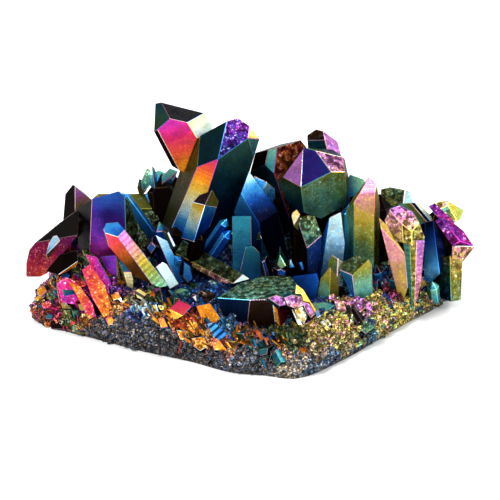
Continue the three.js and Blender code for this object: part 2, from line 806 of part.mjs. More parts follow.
        faces: [
          [-50.8, 15, 0.87], [-106.5, 10.6, 0.91], [138.6, 50.4, 1.8], [110.5, 7.8, 0.56],
          [93.6, -34.6, 0.7], [-93, -24.4, 0.74],
        ],
      },
      {
        centre: [-25, 28, 23],
        faces: [
          [-29.8, 30.8, 1], [-110.7, 17.9, 0.8], [125.1, 34.4, 2.64], [106.2, -5.6, 1.14],
          [95.3, -41.5, 0.85], [-41.3, -79.8, 1.33], [-96.8, -14.6, 0.66], [172.9, -5.9, 3.42],
        ],
      },
      {
        centre: [-23, 27, 24],
        faces: [
          [-18.4, 31.3, 1.62], [56.7, 23.8, 1.17], [-19.9, 24, 1.47], [-110.1, 16.7, 1.2],
          [128.9, 38.1, 2.17], [111.2, 6, 0.94], [96.2, -29.6, 1.06], [-81.8, -57.1, 1.21],
          [-99.3, -9.7, 0.47],
        ],
      },
      {
        centre: [-21, 28, 25],
        faces: [
          [1.4, 44.3, 0.64], [-136, 45.6, 1.15], [142.7, 46.4, 0.65], [105.1, -5.5, 0.93],
          [76.1, -74.2, 1.63], [-92.9, -26.4, 1.33], [172.9, -5.9, 3.44],
        ],
      },
      {
        centre: [-19, 27, 24],
        faces: [
          [4.4, 50.7, 1.25], [35, 2.9, 0.72], [-117.6, 30.4, 1.77], [145.3, 47.9, 2.6],
          [-84.4, -29.5, 2.56], [99.1, -28.2, 0.87], [92.6, -46.6, 1.28], [-97.3, -12.9, 1.51],
          [172.9, -5.9, 3.88],
        ],
      },
      {
        centre: [-24, 27, 20],
        faces: [
          [-30.8, 38.8, 0.8], [-117.2, 27.6, 0.77], [140.9, 47.4, 1.97], [103.5, -11.2, 1.38],
          [85.5, -61.1, 1.02], [-88.1, -35.4, 0.61], [172.9, -5.9, 3.47],
        ],
      },
      {
        centre: [-21, 27, 21],
        faces: [
          [8, 42.1, 1.1], [-145.8, 49.8, 1.07], [120.1, 24.7, 1.44], [94.2, -39.5, 0.93],
          [-59.8, -78.6, 1.32], [-97.1, -13.8, 0.9], [172.9, -5.9, 3.44],
        ],
      },
      { root: [-19.5, 23, 9], tip: [-21, 27.5, 25.5], width: 7, depth: 5 },
      { root: [-19, 26, 9], tip: [-18, 28.5, 25], width: 5, depth: 5 },
    ],
  },
  ...backPoints(),
];

// ---------------------------------------------------------------- the druse base

// The outline as a closed curve.
const rim = new THREE.CatmullRomCurve3(
  OUTLINE.map(([x, y]) => new THREE.Vector3(x, y, 0)),
  true,
);

// Points at even steps along the outline.
function rimPoints(count) {
  return rim.getSpacedPoints(count).slice(0, count);
}

// A smooth bump field with a few overlapping waves.
function lumps(x, y) {
  const coarse = Math.sin(0.42 * x + 1.3) * Math.sin(0.51 * y + 0.4);
  const middle = Math.sin(0.93 * x - 0.61 * y + 2.1) * Math.sin(0.77 * x + 1.07 * y);
  const fine = Math.sin(1.9 * x + 0.7 * y) * Math.sin(1.7 * y - 0.9 * x + 1);
  return 0.5 * coarse + 0.35 * middle + 0.3 * fine;
}

function topHeight(x, y) {
  const banks = BANKS.map(([bx, by, radius, height]) =>
    height * Math.exp(-((x - bx) ** 2 + (y - by) ** 2) / (0.7 * radius ** 2)),
  );
  const rise = banks.reduce((sum, bank) => sum + bank, 0);
  return SLAB.floor + rise + SLAB.lumps * lumps(x, y);
}

// The slab: rings from the middle of the underside out to the outline, up the skirt and in again.
function slabSolid() {
  const profile = RINGS.map(([reach], i) => new THREE.Vector2(reach, i));
  const geometry = new THREE.LatheGeometry(profile, SLAB.spokes);
  const points = rimPoints(SLAB.spokes);
  const position = geometry.attributes.position;
  for (let i = 0; i < position.count; i += 1) {
    const spoke = Math.floor(i / RINGS.length) % SLAB.spokes;
    const [reach, level] = RINGS[i % RINGS.length];
    const x = points[spoke].x * reach;
    const y = points[spoke].y * reach;
    const top = topHeight(x, y);
    const edge = Math.min(SLAB.wall, top) * (1 + 0.25 * lumps(2 * x, 2 * y));
    let z = level < 1 ? level * edge : edge + (level - 1) * (top - edge);
    if (level > 1 && reach > 0.85) z = 0.4 * edge + 0.6 * top;
    position.setXYZ(i, x, y, z);
  }
  return solidOf(geometry);
}

// Small quartz points grown from the slab itself, all over its top and its skirt.
function smallPoints(count) {
  const random = randomSource(11);
  return rimPoints(count).map(({ x, y }, i) => {
    const reach = [0.93, 0.78, 0.97, 0.6][i % 4] + 0.05 * (random() - 0.5);
    const at = new THREE.Vector3(x * reach, y * reach, topHeight(x * reach, y * reach));
    if (reach > 0.85) at.z = 0.45 * SLAB.wall + 0.4 * at.z;
    const out = new THREE.Vector3(x, y, 0).normalize();
    const lean = reach > 0.85 ? 0.9 : 0.35 + 0.4 * random();
    const axis = out.multiplyScalar(lean).add(new THREE.Vector3(0.5 * (random() - 0.5), 0, 0.8));
    axis.normalize();
    const length = 2.4 + 2 * random();
    const foot = at.clone().addScaledVector(axis, -2.5);
    const tip = at.clone().addScaledVector(axis, length * 0.75);
    const width = 2 + 1.4 * random();
    return { root: foot.toArray(), tip: tip.toArray(), width, turn: 60 * random() };
  });
}

function baseSolid() {
  const points = smallPoints(SLAB.points).map((point) => bodyOf(facetsOf(point)));
  return points.reduce((base, point) => base.add(point), slabSolid());
}

// ---------------------------------------------------------------- assembly

// A crystal's whole body, every face moved out by grow. Its joined parts are one body.
function wholeCrystal(crystal, grow = 0) {
  const parts = crystal.joined ?? [crystal];
  return parts.map((part) => bodyOf(facetsOf(part), grow)).reduce((a, b) => a.add(b));
}

export function build() {
  const cluster = new THREE.Group();
  cluster.name = "aura_quartz_cluster";
  const sockets = [];
  for (const crystal of CRYSTALS) {
    const clear = sockets.reduce((rest, socket) => rest.subtract(socket), wholeCrystal(crystal));
    cluster.add(meshOf(crystal.name, mainPiece(clear), COATS[crystal.coat]));
    sockets.push(wholeCrystal(crystal, GAP));
  }
  const base = sockets.reduce((rest, socket) => rest.subtract(socket), baseSolid());
  cluster.add(meshOf("druse_base", mainPiece(base), COATS.druse));
  const middle = new THREE.Box3().setFromObject(cluster).getCenter(new THREE.Vector3());
  cluster.position.set(-middle.x, -middle.y, 0);
  return cluster;
}

export default build();
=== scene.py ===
"""An aura quartz cluster: quartz points coated with a thin metal film, on the druse slab they grew from.

Every crystal is a convex body bounded by flat facets, worked out from the same plain sizes as the
solid model, in millimetres, and carried into the frame at the end. A facet carries four numbers
over its surface: where it stands in the film's run of colours, how much light it throws back, how
grainy it is and how banded. That light is partly the film's own darkness and partly painted light:
painted shade where a facet is made dark to look shaded, and painted highlight where it is made
bright to look lit. The materials turn those into colour, roughness and relief.
"""

import math
from itertools import combinations

import bpy
import numpy as np
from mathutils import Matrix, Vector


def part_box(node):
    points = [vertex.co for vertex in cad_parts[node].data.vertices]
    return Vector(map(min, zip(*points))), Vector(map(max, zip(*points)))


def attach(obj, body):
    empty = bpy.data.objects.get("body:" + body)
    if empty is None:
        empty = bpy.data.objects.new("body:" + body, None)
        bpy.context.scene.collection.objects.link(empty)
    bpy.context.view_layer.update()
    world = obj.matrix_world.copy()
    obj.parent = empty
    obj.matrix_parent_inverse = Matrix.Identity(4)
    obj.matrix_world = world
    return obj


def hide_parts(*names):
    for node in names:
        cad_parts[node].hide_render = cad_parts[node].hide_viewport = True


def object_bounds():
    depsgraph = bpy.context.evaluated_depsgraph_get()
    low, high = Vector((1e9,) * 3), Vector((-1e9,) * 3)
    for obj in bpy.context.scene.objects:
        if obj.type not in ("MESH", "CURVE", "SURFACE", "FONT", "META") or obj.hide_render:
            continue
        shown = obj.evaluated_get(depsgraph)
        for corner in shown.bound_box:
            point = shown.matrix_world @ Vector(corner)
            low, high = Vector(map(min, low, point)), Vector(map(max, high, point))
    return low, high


bl_info = {
    "name": "Aura Quartz Cluster",
    "version": (1, 0, 0),
    "blender": (4, 5, 0),
    "location": "View3D > Sidebar > Aura Quartz",
    "description": "Builds a cluster of film-coated quartz crystals on its druse slab",
    "category": "Add Mesh",
}

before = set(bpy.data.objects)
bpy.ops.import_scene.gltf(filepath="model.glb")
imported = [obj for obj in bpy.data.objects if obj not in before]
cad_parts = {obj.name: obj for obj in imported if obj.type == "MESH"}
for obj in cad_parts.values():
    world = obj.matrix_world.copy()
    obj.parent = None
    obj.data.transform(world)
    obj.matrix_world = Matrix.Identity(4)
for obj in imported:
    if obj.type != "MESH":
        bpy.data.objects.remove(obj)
CAD_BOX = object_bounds()
MM = 0.001  # the sizes below are millimetres, and the frame is metres

# ---------------------------------------------------------------- the film's colours

# The colours that a metal film runs through as it thickens, in that order.
FILM = {
    "bronze": "4A3018", "plum": "3C1C46", "navy": "0E1F52", "cobalt": "1450B4", "sky": "3C9CDC",
    "ice": "C4E8EE", "straw": "F2ECB8", "yellow": "EEC444", "orange": "F28A1C", "scarlet": "E4503A",
    "crimson": "CE2860", "magenta": "C030A0", "violet": "6C2EA8", "indigo": "342C96",
    "azure": "2360B4", "teal": "2F8C9C", "mint": "74BC9E", "olive": "7C8A36", "gold": "B89A34",
    "rose": "CC7898", "lilac": "B874CC",
}
ORDER = {name: i / (len(FILM) - 1) for i, name in enumerate(FILM)}


def linear(code):
    """The scene-linear colour of a hexadecimal sRGB code."""
    srgb = np.array([int(code[i : i + 2], 16) for i in (0, 2, 4)]) / 255
    return tuple(np.where(srgb <= 0.04045, srgb / 12.92, ((srgb + 0.055) / 1.055) ** 2.4).tolist())


def film(low, high, light, grain=0.3, bands=0.0, start=0.0):
    """A facet's coat: the film colours at its low and high ends, the share of light that it throws
    back (or a pair, low and high), its grain and its banding from 0 to 1, and the share of its
    length at which the colours start to run. The light is partly painted: a light near 0 is painted
    shade, one above 1 a painted highlight, and a pair mostly darkens the facet towards its root as
    painted shade."""
    lights = light if isinstance(light, tuple) else (light, light)
    return (ORDER[low], ORDER[high], *lights, grain, bands, start)


def tint(colour, light, grain=0.3, bands=0.0):
    """A coat of one colour all over."""
    return film(colour, colour, light, grain, bands)


SHADE_BLACK = tint("bronze", 0.05, 0.2)  # painted shade: a facet painted near-black where it lies in shadow or shows only dark reflections
GLARE = film("ice", "straw", 1.3, 0.1)  # painted highlight: a facet painted near-white for a lamp's glare

# What a facet may get where its crystal says nothing about it, for each coat.
COATS = {
    "magenta": [film("orange", "magenta", 0.9, 0.2), film("magenta", "violet", 0.5, 0.4),
                tint("plum", 0.1, 0.2), film("gold", "rose", 0.6, 0.4)],
    "violet": [film("magenta", "azure", 0.7), film("indigo", "violet", 0.5, 0.5),
               film("azure", "gold", (0.1, 0.4), 0.4), tint("olive", 0.07)],
    "blue": [film("navy", "sky", (0.4, 1)), film("navy", "cobalt", (0.1, 0.7)),
             film("azure", "teal", 0.5, 0.4), tint("navy", 0.4)],
    "teal": [film("azure", "mint", 0.8, 0.2), film("azure", "teal", 0.4, 0.4),
             film("cobalt", "ice", 0.9, 0.2), tint("teal", 0.12)],
    "olive": [film("teal", "gold", 0.5, 0.5), tint("olive", 0.15, 0.6),
              film("olive", "rose", 0.5, 0.5), film("azure", "olive", 0.25, 0.5)],
    "gold": [film("azure", "rose", 0.8, 0.4), film("olive", "gold", 0.8, 0.4),
             film("cobalt", "orange", 0.9, 0.2), tint("bronze", 0.3, 0.4)],
    "dark": [tint("bronze", 0.1), film("teal", "olive", 0.12, 0.4),
             film("azure", "mint", 0.3, 0.4), tint("plum", 0.15)],
}

# ---------------------------------------------------------------- the crystals

CAP_ANGLE = 51.8  # degrees from a quartz point's long axis to the normal of its end faces
SIDE_ANGLE = 60  # degrees from one of its sides to the next
FACES = ("front", "right", "back_right", "back", "back_left", "left")


def prism(root, tip, width, depth=None, turn=0, **coats):
    """A six-sided quartz point from root to tip. turn twists its first side away from the front.
    Its coats are named sides or front, right ... left for the sides, and tips for the end faces."""
    size = dict(root=root, tip=tip, width=width, depth=depth or width, turn=turn)
    return dict(kind="prism", coats=coats, **size)


def shade_prism(root, tip, width, depth=None):
    """A point painted black all over as painted shade: the foot of a crystal that leans out over the slab,
    or one deep in a gap.
    """
    return prism(root, tip, width, depth, sides=SHADE_BLACK, tips=SHADE_BLACK)


def cut(centre, along, *faces):
    """A crystal of no regular habit: each face is its compass bearing, its tilt up from level, its
    distance from the centre, and its coat if it has one of its own. The film thickens along the
    given direction."""
    return dict(kind="cut", centre=centre, along=along, faces=faces)


def chip(coat, *corners):
    """A thin splinter that lies on the druse: the coat and the corners of its open face, which
    run anticlockwise seen from outside."""
    return dict(kind="chip", coat=coat, corners=corners)


CRYSTALS = []


def crystal(node, coat, bodies):
    """A crystal or a group grown together: its node's name, its coat and its bodies."""
    CRYSTALS.append((node, coat, bodies))


crystal("tall_twin_points", "magenta", [
    cut((-12, 17, 20), (0.3, 0, 1),
        (6.9, 30.5, 13.31, film("indigo", "violet", (0.45, 1), 0.9)),
        (40.8, 19, 15.38, film("yellow", "straw", 0.8, 0.5)), (-38.1, 33.3, 9.78, tint("teal", 0.05)),
        (-23.7, 8.9, 5.98, film("cobalt", "crimson", 1, 0.1, start=0.06)),
        (-67.9, 20.5, 5.98, film("olive", "gold", (0.04, 0.3), 0.4)),
        (28.3, -6.2, 5.99, film("azure", "mint", (0.06, 0.16), 0.5, start=0.3)),
        (34.4, -3.9, 7.66, film("teal", "mint", 0.35, 0.5)), (-154.7, 45.1, 13), (148.2, 27.1, 14.23),
        (-38.1, -71.8, 6.3), (-129.4, 9.1, 6.45), (-141, 31, 9.24), (86.1, -16.2, 8.63),
        (73.4, -15.4, 8.72), (174.3, -3.9, 6.36)),
    cut((-14, 21, 38), (-0.2, -0.1, 1),
        (0.8, -3.1, 4.29, film("orange", "magenta", (0.62, 0.95), 0.3, start=0.1)),
        (49.5, 21.9, 3.85, GLARE), (37, 66.9, 4.84, tint("plum", 0.12, 0.15)),
        (-47.3, 37.9, 7.89, film("olive", "teal", 0.1, 0.2)),
        (-11.1, -8.5, 5.44, tint("bronze", 0.2, 0.2)), (48, -16.6, 4.05, tint("orange", 0.45)),
        (-61.2, -55, 8.85), (143.5, 26.2, 4.07), (166.1, 41.3, 3.87), (-112.7, -22, 4.83),
        (96.8, -4.2, 5.14), (122.1, -47.4, 5.74), (-174.2, 2.1, 5)),
    shade_prism((-18, 14, 6), (-14.5, 16, 21), 9),
])
crystal("stout_point", "violet", [
    cut((16, 13, 27), (-0.1, 0, 1),
        (-40.9, 38.3, 8.79, tint("lilac", 0.55, 0.4)), (0.7, 44.2, 7.63, tint("indigo", 0.35)),
        (31.9, 52.2, 7.94, film("rose", "lilac", 0.85, 0.9)),
        (21.3, 0.3, 5.49, film("mint", "olive", (0.16, 0.34), 0.6, start=0.3)),
        (-48.2, -6.6, 8, film("azure", "olive", (0.08, 0.16), 0.4)),
        (73.3, 3.6, 6.74, film("teal", "gold", 0.3)), (-93.5, 37.4, 9.02), (-140.2, 24.6, 5.54),
        (118, 72.7, 8.72), (84.1, 16.3, 7.22), (65.2, -60.4, 5.89), (-62.6, -64, 5.85),
        (-120.1, -34.3, 5.21), (-124.1, 48.5, 9.08), (110.5, 42.1, 8.8), (122.1, -4, 5.11),
        (-177, 2, 5.74)),
    shade_prism((15, 17, 5), (13.6, 13.5, 28), 9, 8),
])
crystal("violet_block", "violet", [
    cut((-34, 3, 18), (0.1, 0, 1),
        (8, 1.9, 4.63, film("crimson", "azure", (0.55, 0.62), 0.35, start=0.25)),
        (-59.3, 4.8, 4.29, SHADE_BLACK), (53.3, 1.3, 7.19, tint("olive", 0.14, 1)), (-147.1, 58.2, 8.45),
        (118.3, 38.9, 10.42), (-119.4, -5.5, 4.46), (100.8, -5.4, 8.73), (137.2, 21.7, 6.71),
        (128.8, 0.2, 6.64), (178.5, -2.6, 4.99), (180, -90, 13)),
])
crystal("front_table", "olive", [
    cut((5, -14, 8), (0, 0.3, 1),
        (-84.5, 85.8, 5.77, film("mint", "olive", 0.42, 1)), (-18, -0.6, 7.2, tint("azure", 0.05, 0.4)),
        (-3.5, -2.1, 6.09, tint("bronze", 0.22)), (18.5, 0.4, 5.95, film("yellow", "orange", 1, 0.6)),
        (39.2, 4, 5.38, film("scarlet", "crimson", 0.2, 0.4)), (-122.8, 15.3, 9.28), (-144.5, 26.2, 8.66),
        (173.3, 32.5, 8.49), (107.2, 3, 5.75), (-118.6, -16.1, 7.28), (96.3, -1.8, 5.26),
        (172.9, -5.9, 8.41), (180, -90, 5)),
])
crystal("broad_blue_point", "blue", [
    cut((2, 12, 17), (-0.2, 0.2, 1),
        (17.3, 22.4, 4.3, film("navy", "ice", (0.2, 1.2), 0.45, start=0.1)),
        (-28.7, -4.8, 2.73, film("navy", "sky", (0.1, 0.8), 0.3, start=0.2)),
        (26.4, 4.1, 3.36, tint("navy", 0.12)), (-96, 19.2, 6.92), (139.5, 18.7, 3.71),
        (-119.6, -16.9, 3.14), (129.4, 10.1, 3.67), (-178, -11.4, 6.85), (180, -90, 11)),
])
crystal("gold_column", "gold", [
    cut((26, 6, 24), (0, 0, 1),
        (-15.2, 42.7, 6.36, film("rose", "lilac", 1)),
        (-7.9, 0.5, 3.42, film("teal", "rose", (0.7, 0.9), 0.55)),
        (-59.1, -0.6, 3.76, film("azure", "olive", (0.7, 1))),
        (67.7, 0.8, 3.37, film("olive", "gold", (0.15, 0.6), 0.4)), (-97.7, 30.8, 3.68),
        (-103.4, 5.2, 4.27), (129, 19, 2.89), (-119.9, 36.2, 4.22), (-127.5, -1.1, 3.55), (121.2, 0, 2.8),
        (-179.6, -0.6, 4.91), (180, -90, 19)),
])
crystal("orange_capped_prism", "gold", [
    cut((-11, 4, 23), (0.3, 0, 1),
        (-47.5, 12.2, 2.99, film("cobalt", "orange", (0.9, 1), 0.12, start=0.06)),
        (46.7, -11.6, 2.37, film("navy", "sky", (0.3, 0.8))),
        (-53.1, 51.8, 4.83, film("plum", "bronze", 0.25, 0.5)),
        (56.1, 10.9, 3.87, film("olive", "gold", 0.3, 0.5)), (105.7, -81.6, 3.62), (-131.5, 14.5, 1.77),
        (91.7, -20.6, 2.23), (120.8, -62.6, 2), (-172.9, 37.5, 3.52), (144.3, 31.4, 4.42),
        (174, -2.1, 2.95)),
    shade_prism((-14, 5, 6), (-11.4, 3.6, 21), 3.4),
])
crystal("crown_point", "magenta", [
    cut((19, 20, 26), (-0.2, 0.2, 1),
        (-4, 14.9, 3.08, tint("bronze", 0.25, 0.7)),
        (-3.8, 9.1, 2.05, film("olive", "teal", 0.12, 0.5, 0.5)),
        (49.7, 17.9, 2.17, film("rose", "lilac", 1, 0.7)), (-152.9, 28.9, 8.12), (158.4, 46.1, 8.67),
        (-93.7, -19.9, 3.69), (-124.9, -10, 2.88), (-99.4, -1.9, 5.41), (126.9, 5.8, 3.71),
        (122.8, -4.4, 2.77), (180, -90, 14)),
])
crystal("pitted_sceptre", "magenta", [
    cut((35, -1, 22), (-0.3, 0.3, 0.9),
        (18, 37.2, 3.36, film("gold", "lilac", (1.5, 1.1), 0.95)),
        (-29.9, -4, 2.7, film("gold", "rose", (1.5, 1.3), 0.85)),
        (-17.4, -3.2, 2.74, tint("gold", 1, 0.9)), (48.1, 0, 2.96, film("olive", "gold", (0.9, 1.3), 0.9)),
        (-150.5, 27.4, 3.57), (157.4, 32.2, 2.86), (109.3, 25.9, 3.1), (-94.1, -23.2, 3.38),
        (-43, -61.9, 2.81), (-122.8, -28.9, 2.16), (-112.5, 24.4, 5.14), (117.5, -9.2, 4.2)),
    cut((37, -2, 18), (-0.1, 0, 1),
        (-34.4, -1.3, 2.16, film("teal", "mint", 0.8, 0.5, 0.3)),
        (-6.7, 0.4, 1.98, film("olive", "gold", 0.8, 0.8, 0.3)),
        (36.4, 0.3, 1.78, film("rose", "lilac", 0.9, 0.7, 0.3)), (177, 66.7, 1.98), (-99.6, -8.5, 2.2),
        (118.5, -4, 1.47), (115.3, -17.5, 3.44), (-178.6, -0.9, 3.16)),
    prism((36.5, 2.5, 2.5), (35.5, -0.5, 24), 4.4, sides=tint("olive", 0.1, 0.8), tips=SHADE_BLACK),
])
crystal("magenta_spear", "magenta", [
    cut((45, 10, 21), (0.7, 0, -0.7),
        (17.4, 25.6, 0.21, film("violet", "magenta", 0.6, 0.8)), (-149, 24.9, 3.11), (143.5, 26.6, 0.59),
        (118.2, -67.4, 1.69), (-124.6, -56, 0.86), (-123.8, -39.8, 0.83)),
    cut((48, 8, 17), (0.7, 0, -0.7),
        (1.2, 10, 1.87, film("violet", "magenta", 0.6, 0.85, 0.3)),
        (44.3, 35.1, 1.01, film("violet", "magenta", 0.75, 0.8)),
        (16.8, -14.6, 1.86, film("magenta", "violet", 0.8, 0.8)), (-158.9, 27.5, 2.88),
        (-123.3, -33.8, 1.04), (-178.8, 41, 2.6), (151.5, 33, 1.56), (133, 17.4, 1.54),
        (-134.7, -73.9, 1.26)),
    shade_prism((44, 10, 3), (46.2, 9.4, 20.5), 3.4),
])
crystal("gold_nugget", "gold", [
    cut((46, 13, 22), (0.9, 0, -0.4),
        (25.1, 25.7, 0.64, film("gold", "rose", 0.9, 0.9)),
        (26.5, 21.5, 0.56, film("mint", "gold", 0.75, 1)),
        (31.5, 23.4, 0.55, film("gold", "olive", 0.75, 0.5)), (-152.6, 29.9, 1.42), (-76.7, -57.2, 2.01),
        (-120.4, -50.3, 1.14), (-91.1, -34.1, 2.14), (163.8, 38.3, 1.19), (110.3, -33.4, 3.5),
        (116.2, -73.7, 3.04)),
    shade_prism((43.5, 16, 8), (46, 13.6, 21.5), 3.6),
])
crystal("magenta_flank", "magenta", [
    cut((-48, 1, 16), (0.3, 0.3, 0.9),
        (-32.1, 24.1, 1.84, film("scarlet", "magenta", (0.4, 0.08), 0.66)),
        (-55.6, 58.3, 2.71, tint("bronze", 0.08, 0.4)), (-121.8, 1, 1.29), (-134.3, 28.6, 1.21),
        (104.5, -0.3, 9.87), (96.1, -22.1, 6.01), (117.5, -71.7, 3.27), (-115.4, -13.7, 2.03),
        (-122.4, 46.2, 2.54), (-91.6, 54.5, 2.38), (106.7, -37.1, 2.42), (20.5, -74.1, 5.16),
        (76.1, -57.6, 4.4)),
    cut((-44, -2, 19), (0.4, 0, 0.9),
        (-7.8, 19.1, 0.91, film("sky", "ice", 0.8, 0.5)), (23.7, -12.2, 0.95, tint("olive", 0.2, 0.5)),
        (-131.6, 15.2, 0.59), (-171.2, 34.5, 1.18), (102.7, -4.7, 1.37), (-89.6, -7.3, 1.9),
        (113.9, 24.2, 1.64), (123, -44.3, 1.51), (-96.7, 12.8, 1.11)),
    cut((-41, -1, 17), (0.3, 0, 0.9),
        (-11.1, 4.9, 1.85, film("scarlet", "crimson", (0.18, 0.1), 0.5)),
        (49.2, -0.5, 1.81, film("bronze", "olive", 0.12, 0.4)), (-140.6, 26.5, 0.83), (-174.3, 44.1, 1.67),
        (70.8, -59.6, 2.92), (-117.4, -7.6, 0.54), (128.8, -5.5, 1.2), (-68.2, -46.4, 2.57)),
    cut((-40, 4, 21), (0, 0, 1),
        (19.9, 15.6, 0.5, tint("orange", 0.95)), (-138.9, 22.1, 0.36), (146.8, 20.2, 0.71),
        (126.2, -19.8, 0.84), (-111.4, -44.1, 0.86), (-117.6, -11.5, 0.09)),
])
crystal("dark_spire", "dark", [
    cut((-40, 9, 9), (0, 0.1, 1),
        (-38.4, 3.6, 3.21, SHADE_BLACK), (45.9, 1, 2.61, film("mint", "lilac", (0.6, 1.2), 0.3, start=0.6)),
        (-145.6, 37.9, 11.68), (-121.9, 5.8, 3.14), (111.7, 44.4, 14.26), (129.2, -3, 2.57),
        (179.4, -3.2, 3.06), (180, -90, 3)),
])
crystal("pink_blade", "magenta", [
    cut((-29, -6, 21), (-0.5, 0, 0.8),
        (0.3, 48.7, 3.94, film("cobalt", "sky", 0.8, 0.5)),
        (-16, -8.3, 2.41, film("orange", "crimson", (0.05, 1.25), 0.25, start=0.42)),
        (29.6, 19.4, 3.24, film("mint", "lilac", (0.75, 0.95), 0.45, 0.4)), (-119.4, -1, 2.25),
        (-173.5, 33.8, 2.81), (114.5, 32.6, 2.61), (-67.3, -12.8, 2.78), (-61.1, -61, 5.24),
        (-159.6, -81.1, 8.61), (-78.5, -38.2, 2.1), (-170.5, -8.1, 2.79)),
])
crystal("olive_prism", "olive", [
    cut((-15, 7, 14), (0.8, -0.6, -0.2),
        (-18.5, 56.6, 1.27, tint("olive", 0.1, 1)), (4.1, 45.6, 6.21, GLARE),
        (-32, 21.3, 2.35, film("gold", "rose", 0.35, 0.9, 0.4)), (133, 34.3, 1.67), (-113.7, 13.6, 1.33),
        (76.1, -78.8, 5.91), (-76.1, -71.2, 1.74), (-94.6, -39, 1.54), (150.8, -31.9, 3.38)),
])
crystal("mint_blade", "teal", [
    cut((-16, 1, 6), (-0.4, 0, 0.9),
        (17.1, 7.8, 2.26, film("cobalt", "ice", (0.8, 1.15), 0.3, start=0.3)),
        (-33.3, -11.5, 1.31, film("azure", "indigo", (0.9, 0.4))), (168.4, 33.9, 6), (109.8, 20, 2.15),
        (138.1, 15, 0.9), (-115.7, -19.1, 0.81), (-179.3, 45.6, 9.47), (180, -90, 1)),
])
crystal("white_stub", "teal", [
    cut((-20, -5, 13), (-0.5, 0.1, 0.9),
        (12.2, 11.7, 1.89, tint("ice", 1.25, 0.15)), (-30.5, -13, 1.26, film("cobalt", "sky", 0.6)),
        (-111.1, 52, 2.25), (164.8, 31, 1.1), (140.7, 16, 1.02), (77.9, -62.6, 3.44),
        (-114.1, -28.9, 1.07)),
])
crystal("blue_leaf", "blue", [
    prism((-11.5, 3, 5), (-17, -0.5, 15.8), 2.6, 1.6,
          sides=film("cobalt", "sky", 1, 0.2), tips=film("cobalt", "sky", 0.9, 0.2)),
])
crystal("blue_twin_left", "blue", [
    prism((-13, 8.5, 9), (-5.2, 5, 22.6), 2.2,
          sides=film("navy", "cobalt", 0.9, 0.2), left=film("cobalt", "sky", 0.9, 0.2),
          tips=tint("sky", 1.1, 0.2)),
])
crystal("blue_twin_right", "blue", [
    prism((-11.5, 6.5, 8), (-4.4, 3, 20.6), 2.4,
          sides=film("navy", "cobalt", 1, 0.2), left=film("cobalt", "sky", 0.9, 0.2),
          tips=tint("cobalt", 1, 0.2)),
])
crystal("teal_slab", "teal", [
    cut((-2, 3, 7), (0, 0, 1),
        (3.3, -0.9, 1.71, film("azure", "teal", (0.95, 0.75))), (-177.9, 44, 10.97), (115.3, 1.2, 1.61),
        (-114.2, -0.2, 0.94), (-179.7, 1, 2.18), (180, -90, 1)),
    cut((0, 2, 8), (0.2, 0.1, 1),
        (8.9, 2.2, 1.78, film("azure", "teal", 0.75)), (-174.6, 43.3, 5.67), (140.2, 32.9, 4.81),
        (116.4, 3.1, 1.96), (-120.3, 9.2, 1.58), (176, -5.2, 2.49), (180, -90, 2)),
])
crystal("dark_pointed_prism", "dark", [
    cut((3, 6, 14), (0, 0, 1),
        (-38.6, 10.9, 1.57, film("olive", "gold", 0.5)), (-35.2, 1.9, 1.04, tint("azure", 0.15)),
        (25.8, -0.6, 0.69, film("azure", "teal", 0.35, 0.4)), (-133.2, 12.7, 1.85), (96.7, 19.7, 0.9),
        (-123.2, -8.1, 0.94), (125.4, 3, 1.02), (180, -90, 8)),
])
crystal("speckled_point", "olive", [
    cut((13, -1, 20), (0, 0.3, 1),
        (22.2, 25.6, 2.02, film("mint", "olive", 0.4, 1)),
        (34.9, 2.7, 2.26, film("navy", "cobalt", 0.3, 0.5)), (-46, -0.7, 2.27, SHADE_BLACK),
        (-146.8, 26.1, 2.96), (-174, 36.1, 3.73), (128.4, 4.8, 2.27), (121.5, -6, 2.3),
        (-129.7, 10.5, 2.38), (-179.9, -15.4, 5.9), (180, -90, 14)),
])
crystal("gold_bead", "gold", [
    cut((10, -2, 25), (0.2, 0.5, 0.8),
        (7.2, 34, 0.54, film("straw", "yellow", 0.95)), (43.6, 3.9, 0.63, film("olive", "gold", 0.2)),
        (-141.3, 19.4, 1.2), (130.5, 8.2, 1.34), (84.8, -31.2, 2.45), (-92.6, -19.2, 0.44),
        (-81, -39.7, 0.9), (-106.2, 14.7, 0.97), (-178.1, -31.7, 2.6)),
    shade_prism((10.8, 0.5, 6), (10.4, -1.6, 25), 1.8),
])
crystal("mint_slab", "teal", [
    cut((17, 3, 7), (0.3, 0, 1),
        (-4.2, 0.3, 2.15, film("sky", "ice", (1.05, 0.8), 0.6)),
        (-13.3, 1.4, 2.3, tint("cobalt", (0.9, 0.5))), (-165.1, 32.1, 7.44), (125.4, 5.9, 3.4),
        (120.5, -3.5, 1.92), (-129.7, 4.7, 1.03), (-137.1, 16, 2.75), (173.6, -0.9, 1.77), (180, -90, 2)),
])
crystal("grey_slab", "blue", [
    prism((22.4, 4.5, 4), (22.5, 7, 25.5), 3.4, 3,
          sides=film("azure", "teal", 0.4), tips=film("azure", "teal", 0.6)),
])
crystal("cyan_back_point", "teal", [
    cut((24, 16, 27), (0.6, 0, 0.8),
        (-14.1, 17.5, 1.17, film("azure", "olive", 0.9, 0.5)), (152.9, 30.7, 0.79), (128.3, 8.1, 1.23),
        (116, -28, 1.44), (123.5, -63.8, 3.01), (-125.1, -15.3, 0.96), (-136.5, 11, 0.99)),
    shade_prism((24, 17, 8), (24.6, 15.6, 27), 4.4),
])
crystal("pink_yellow_blade", "gold", [
    cut((34, -1, 14), (-0.3, 0.1, 0.9),
        (-12.8, -2, 1.5, film("gold", "rose", (0.85, 1.05), 0.5)),
        (-5.9, 4.7, 2.01, tint("gold", 1, 0.55)), (65.9, 5.5, 1.77, tint("magenta", 0.9)),
        (-124.3, -12.8, 1.42), (145.5, 25.9, 1.95), (108.5, 29.3, 1.72), (-90.3, -14.8, 2.28),
        (118.7, -10.1, 1.57), (-174, -5.5, 2.59)),
])
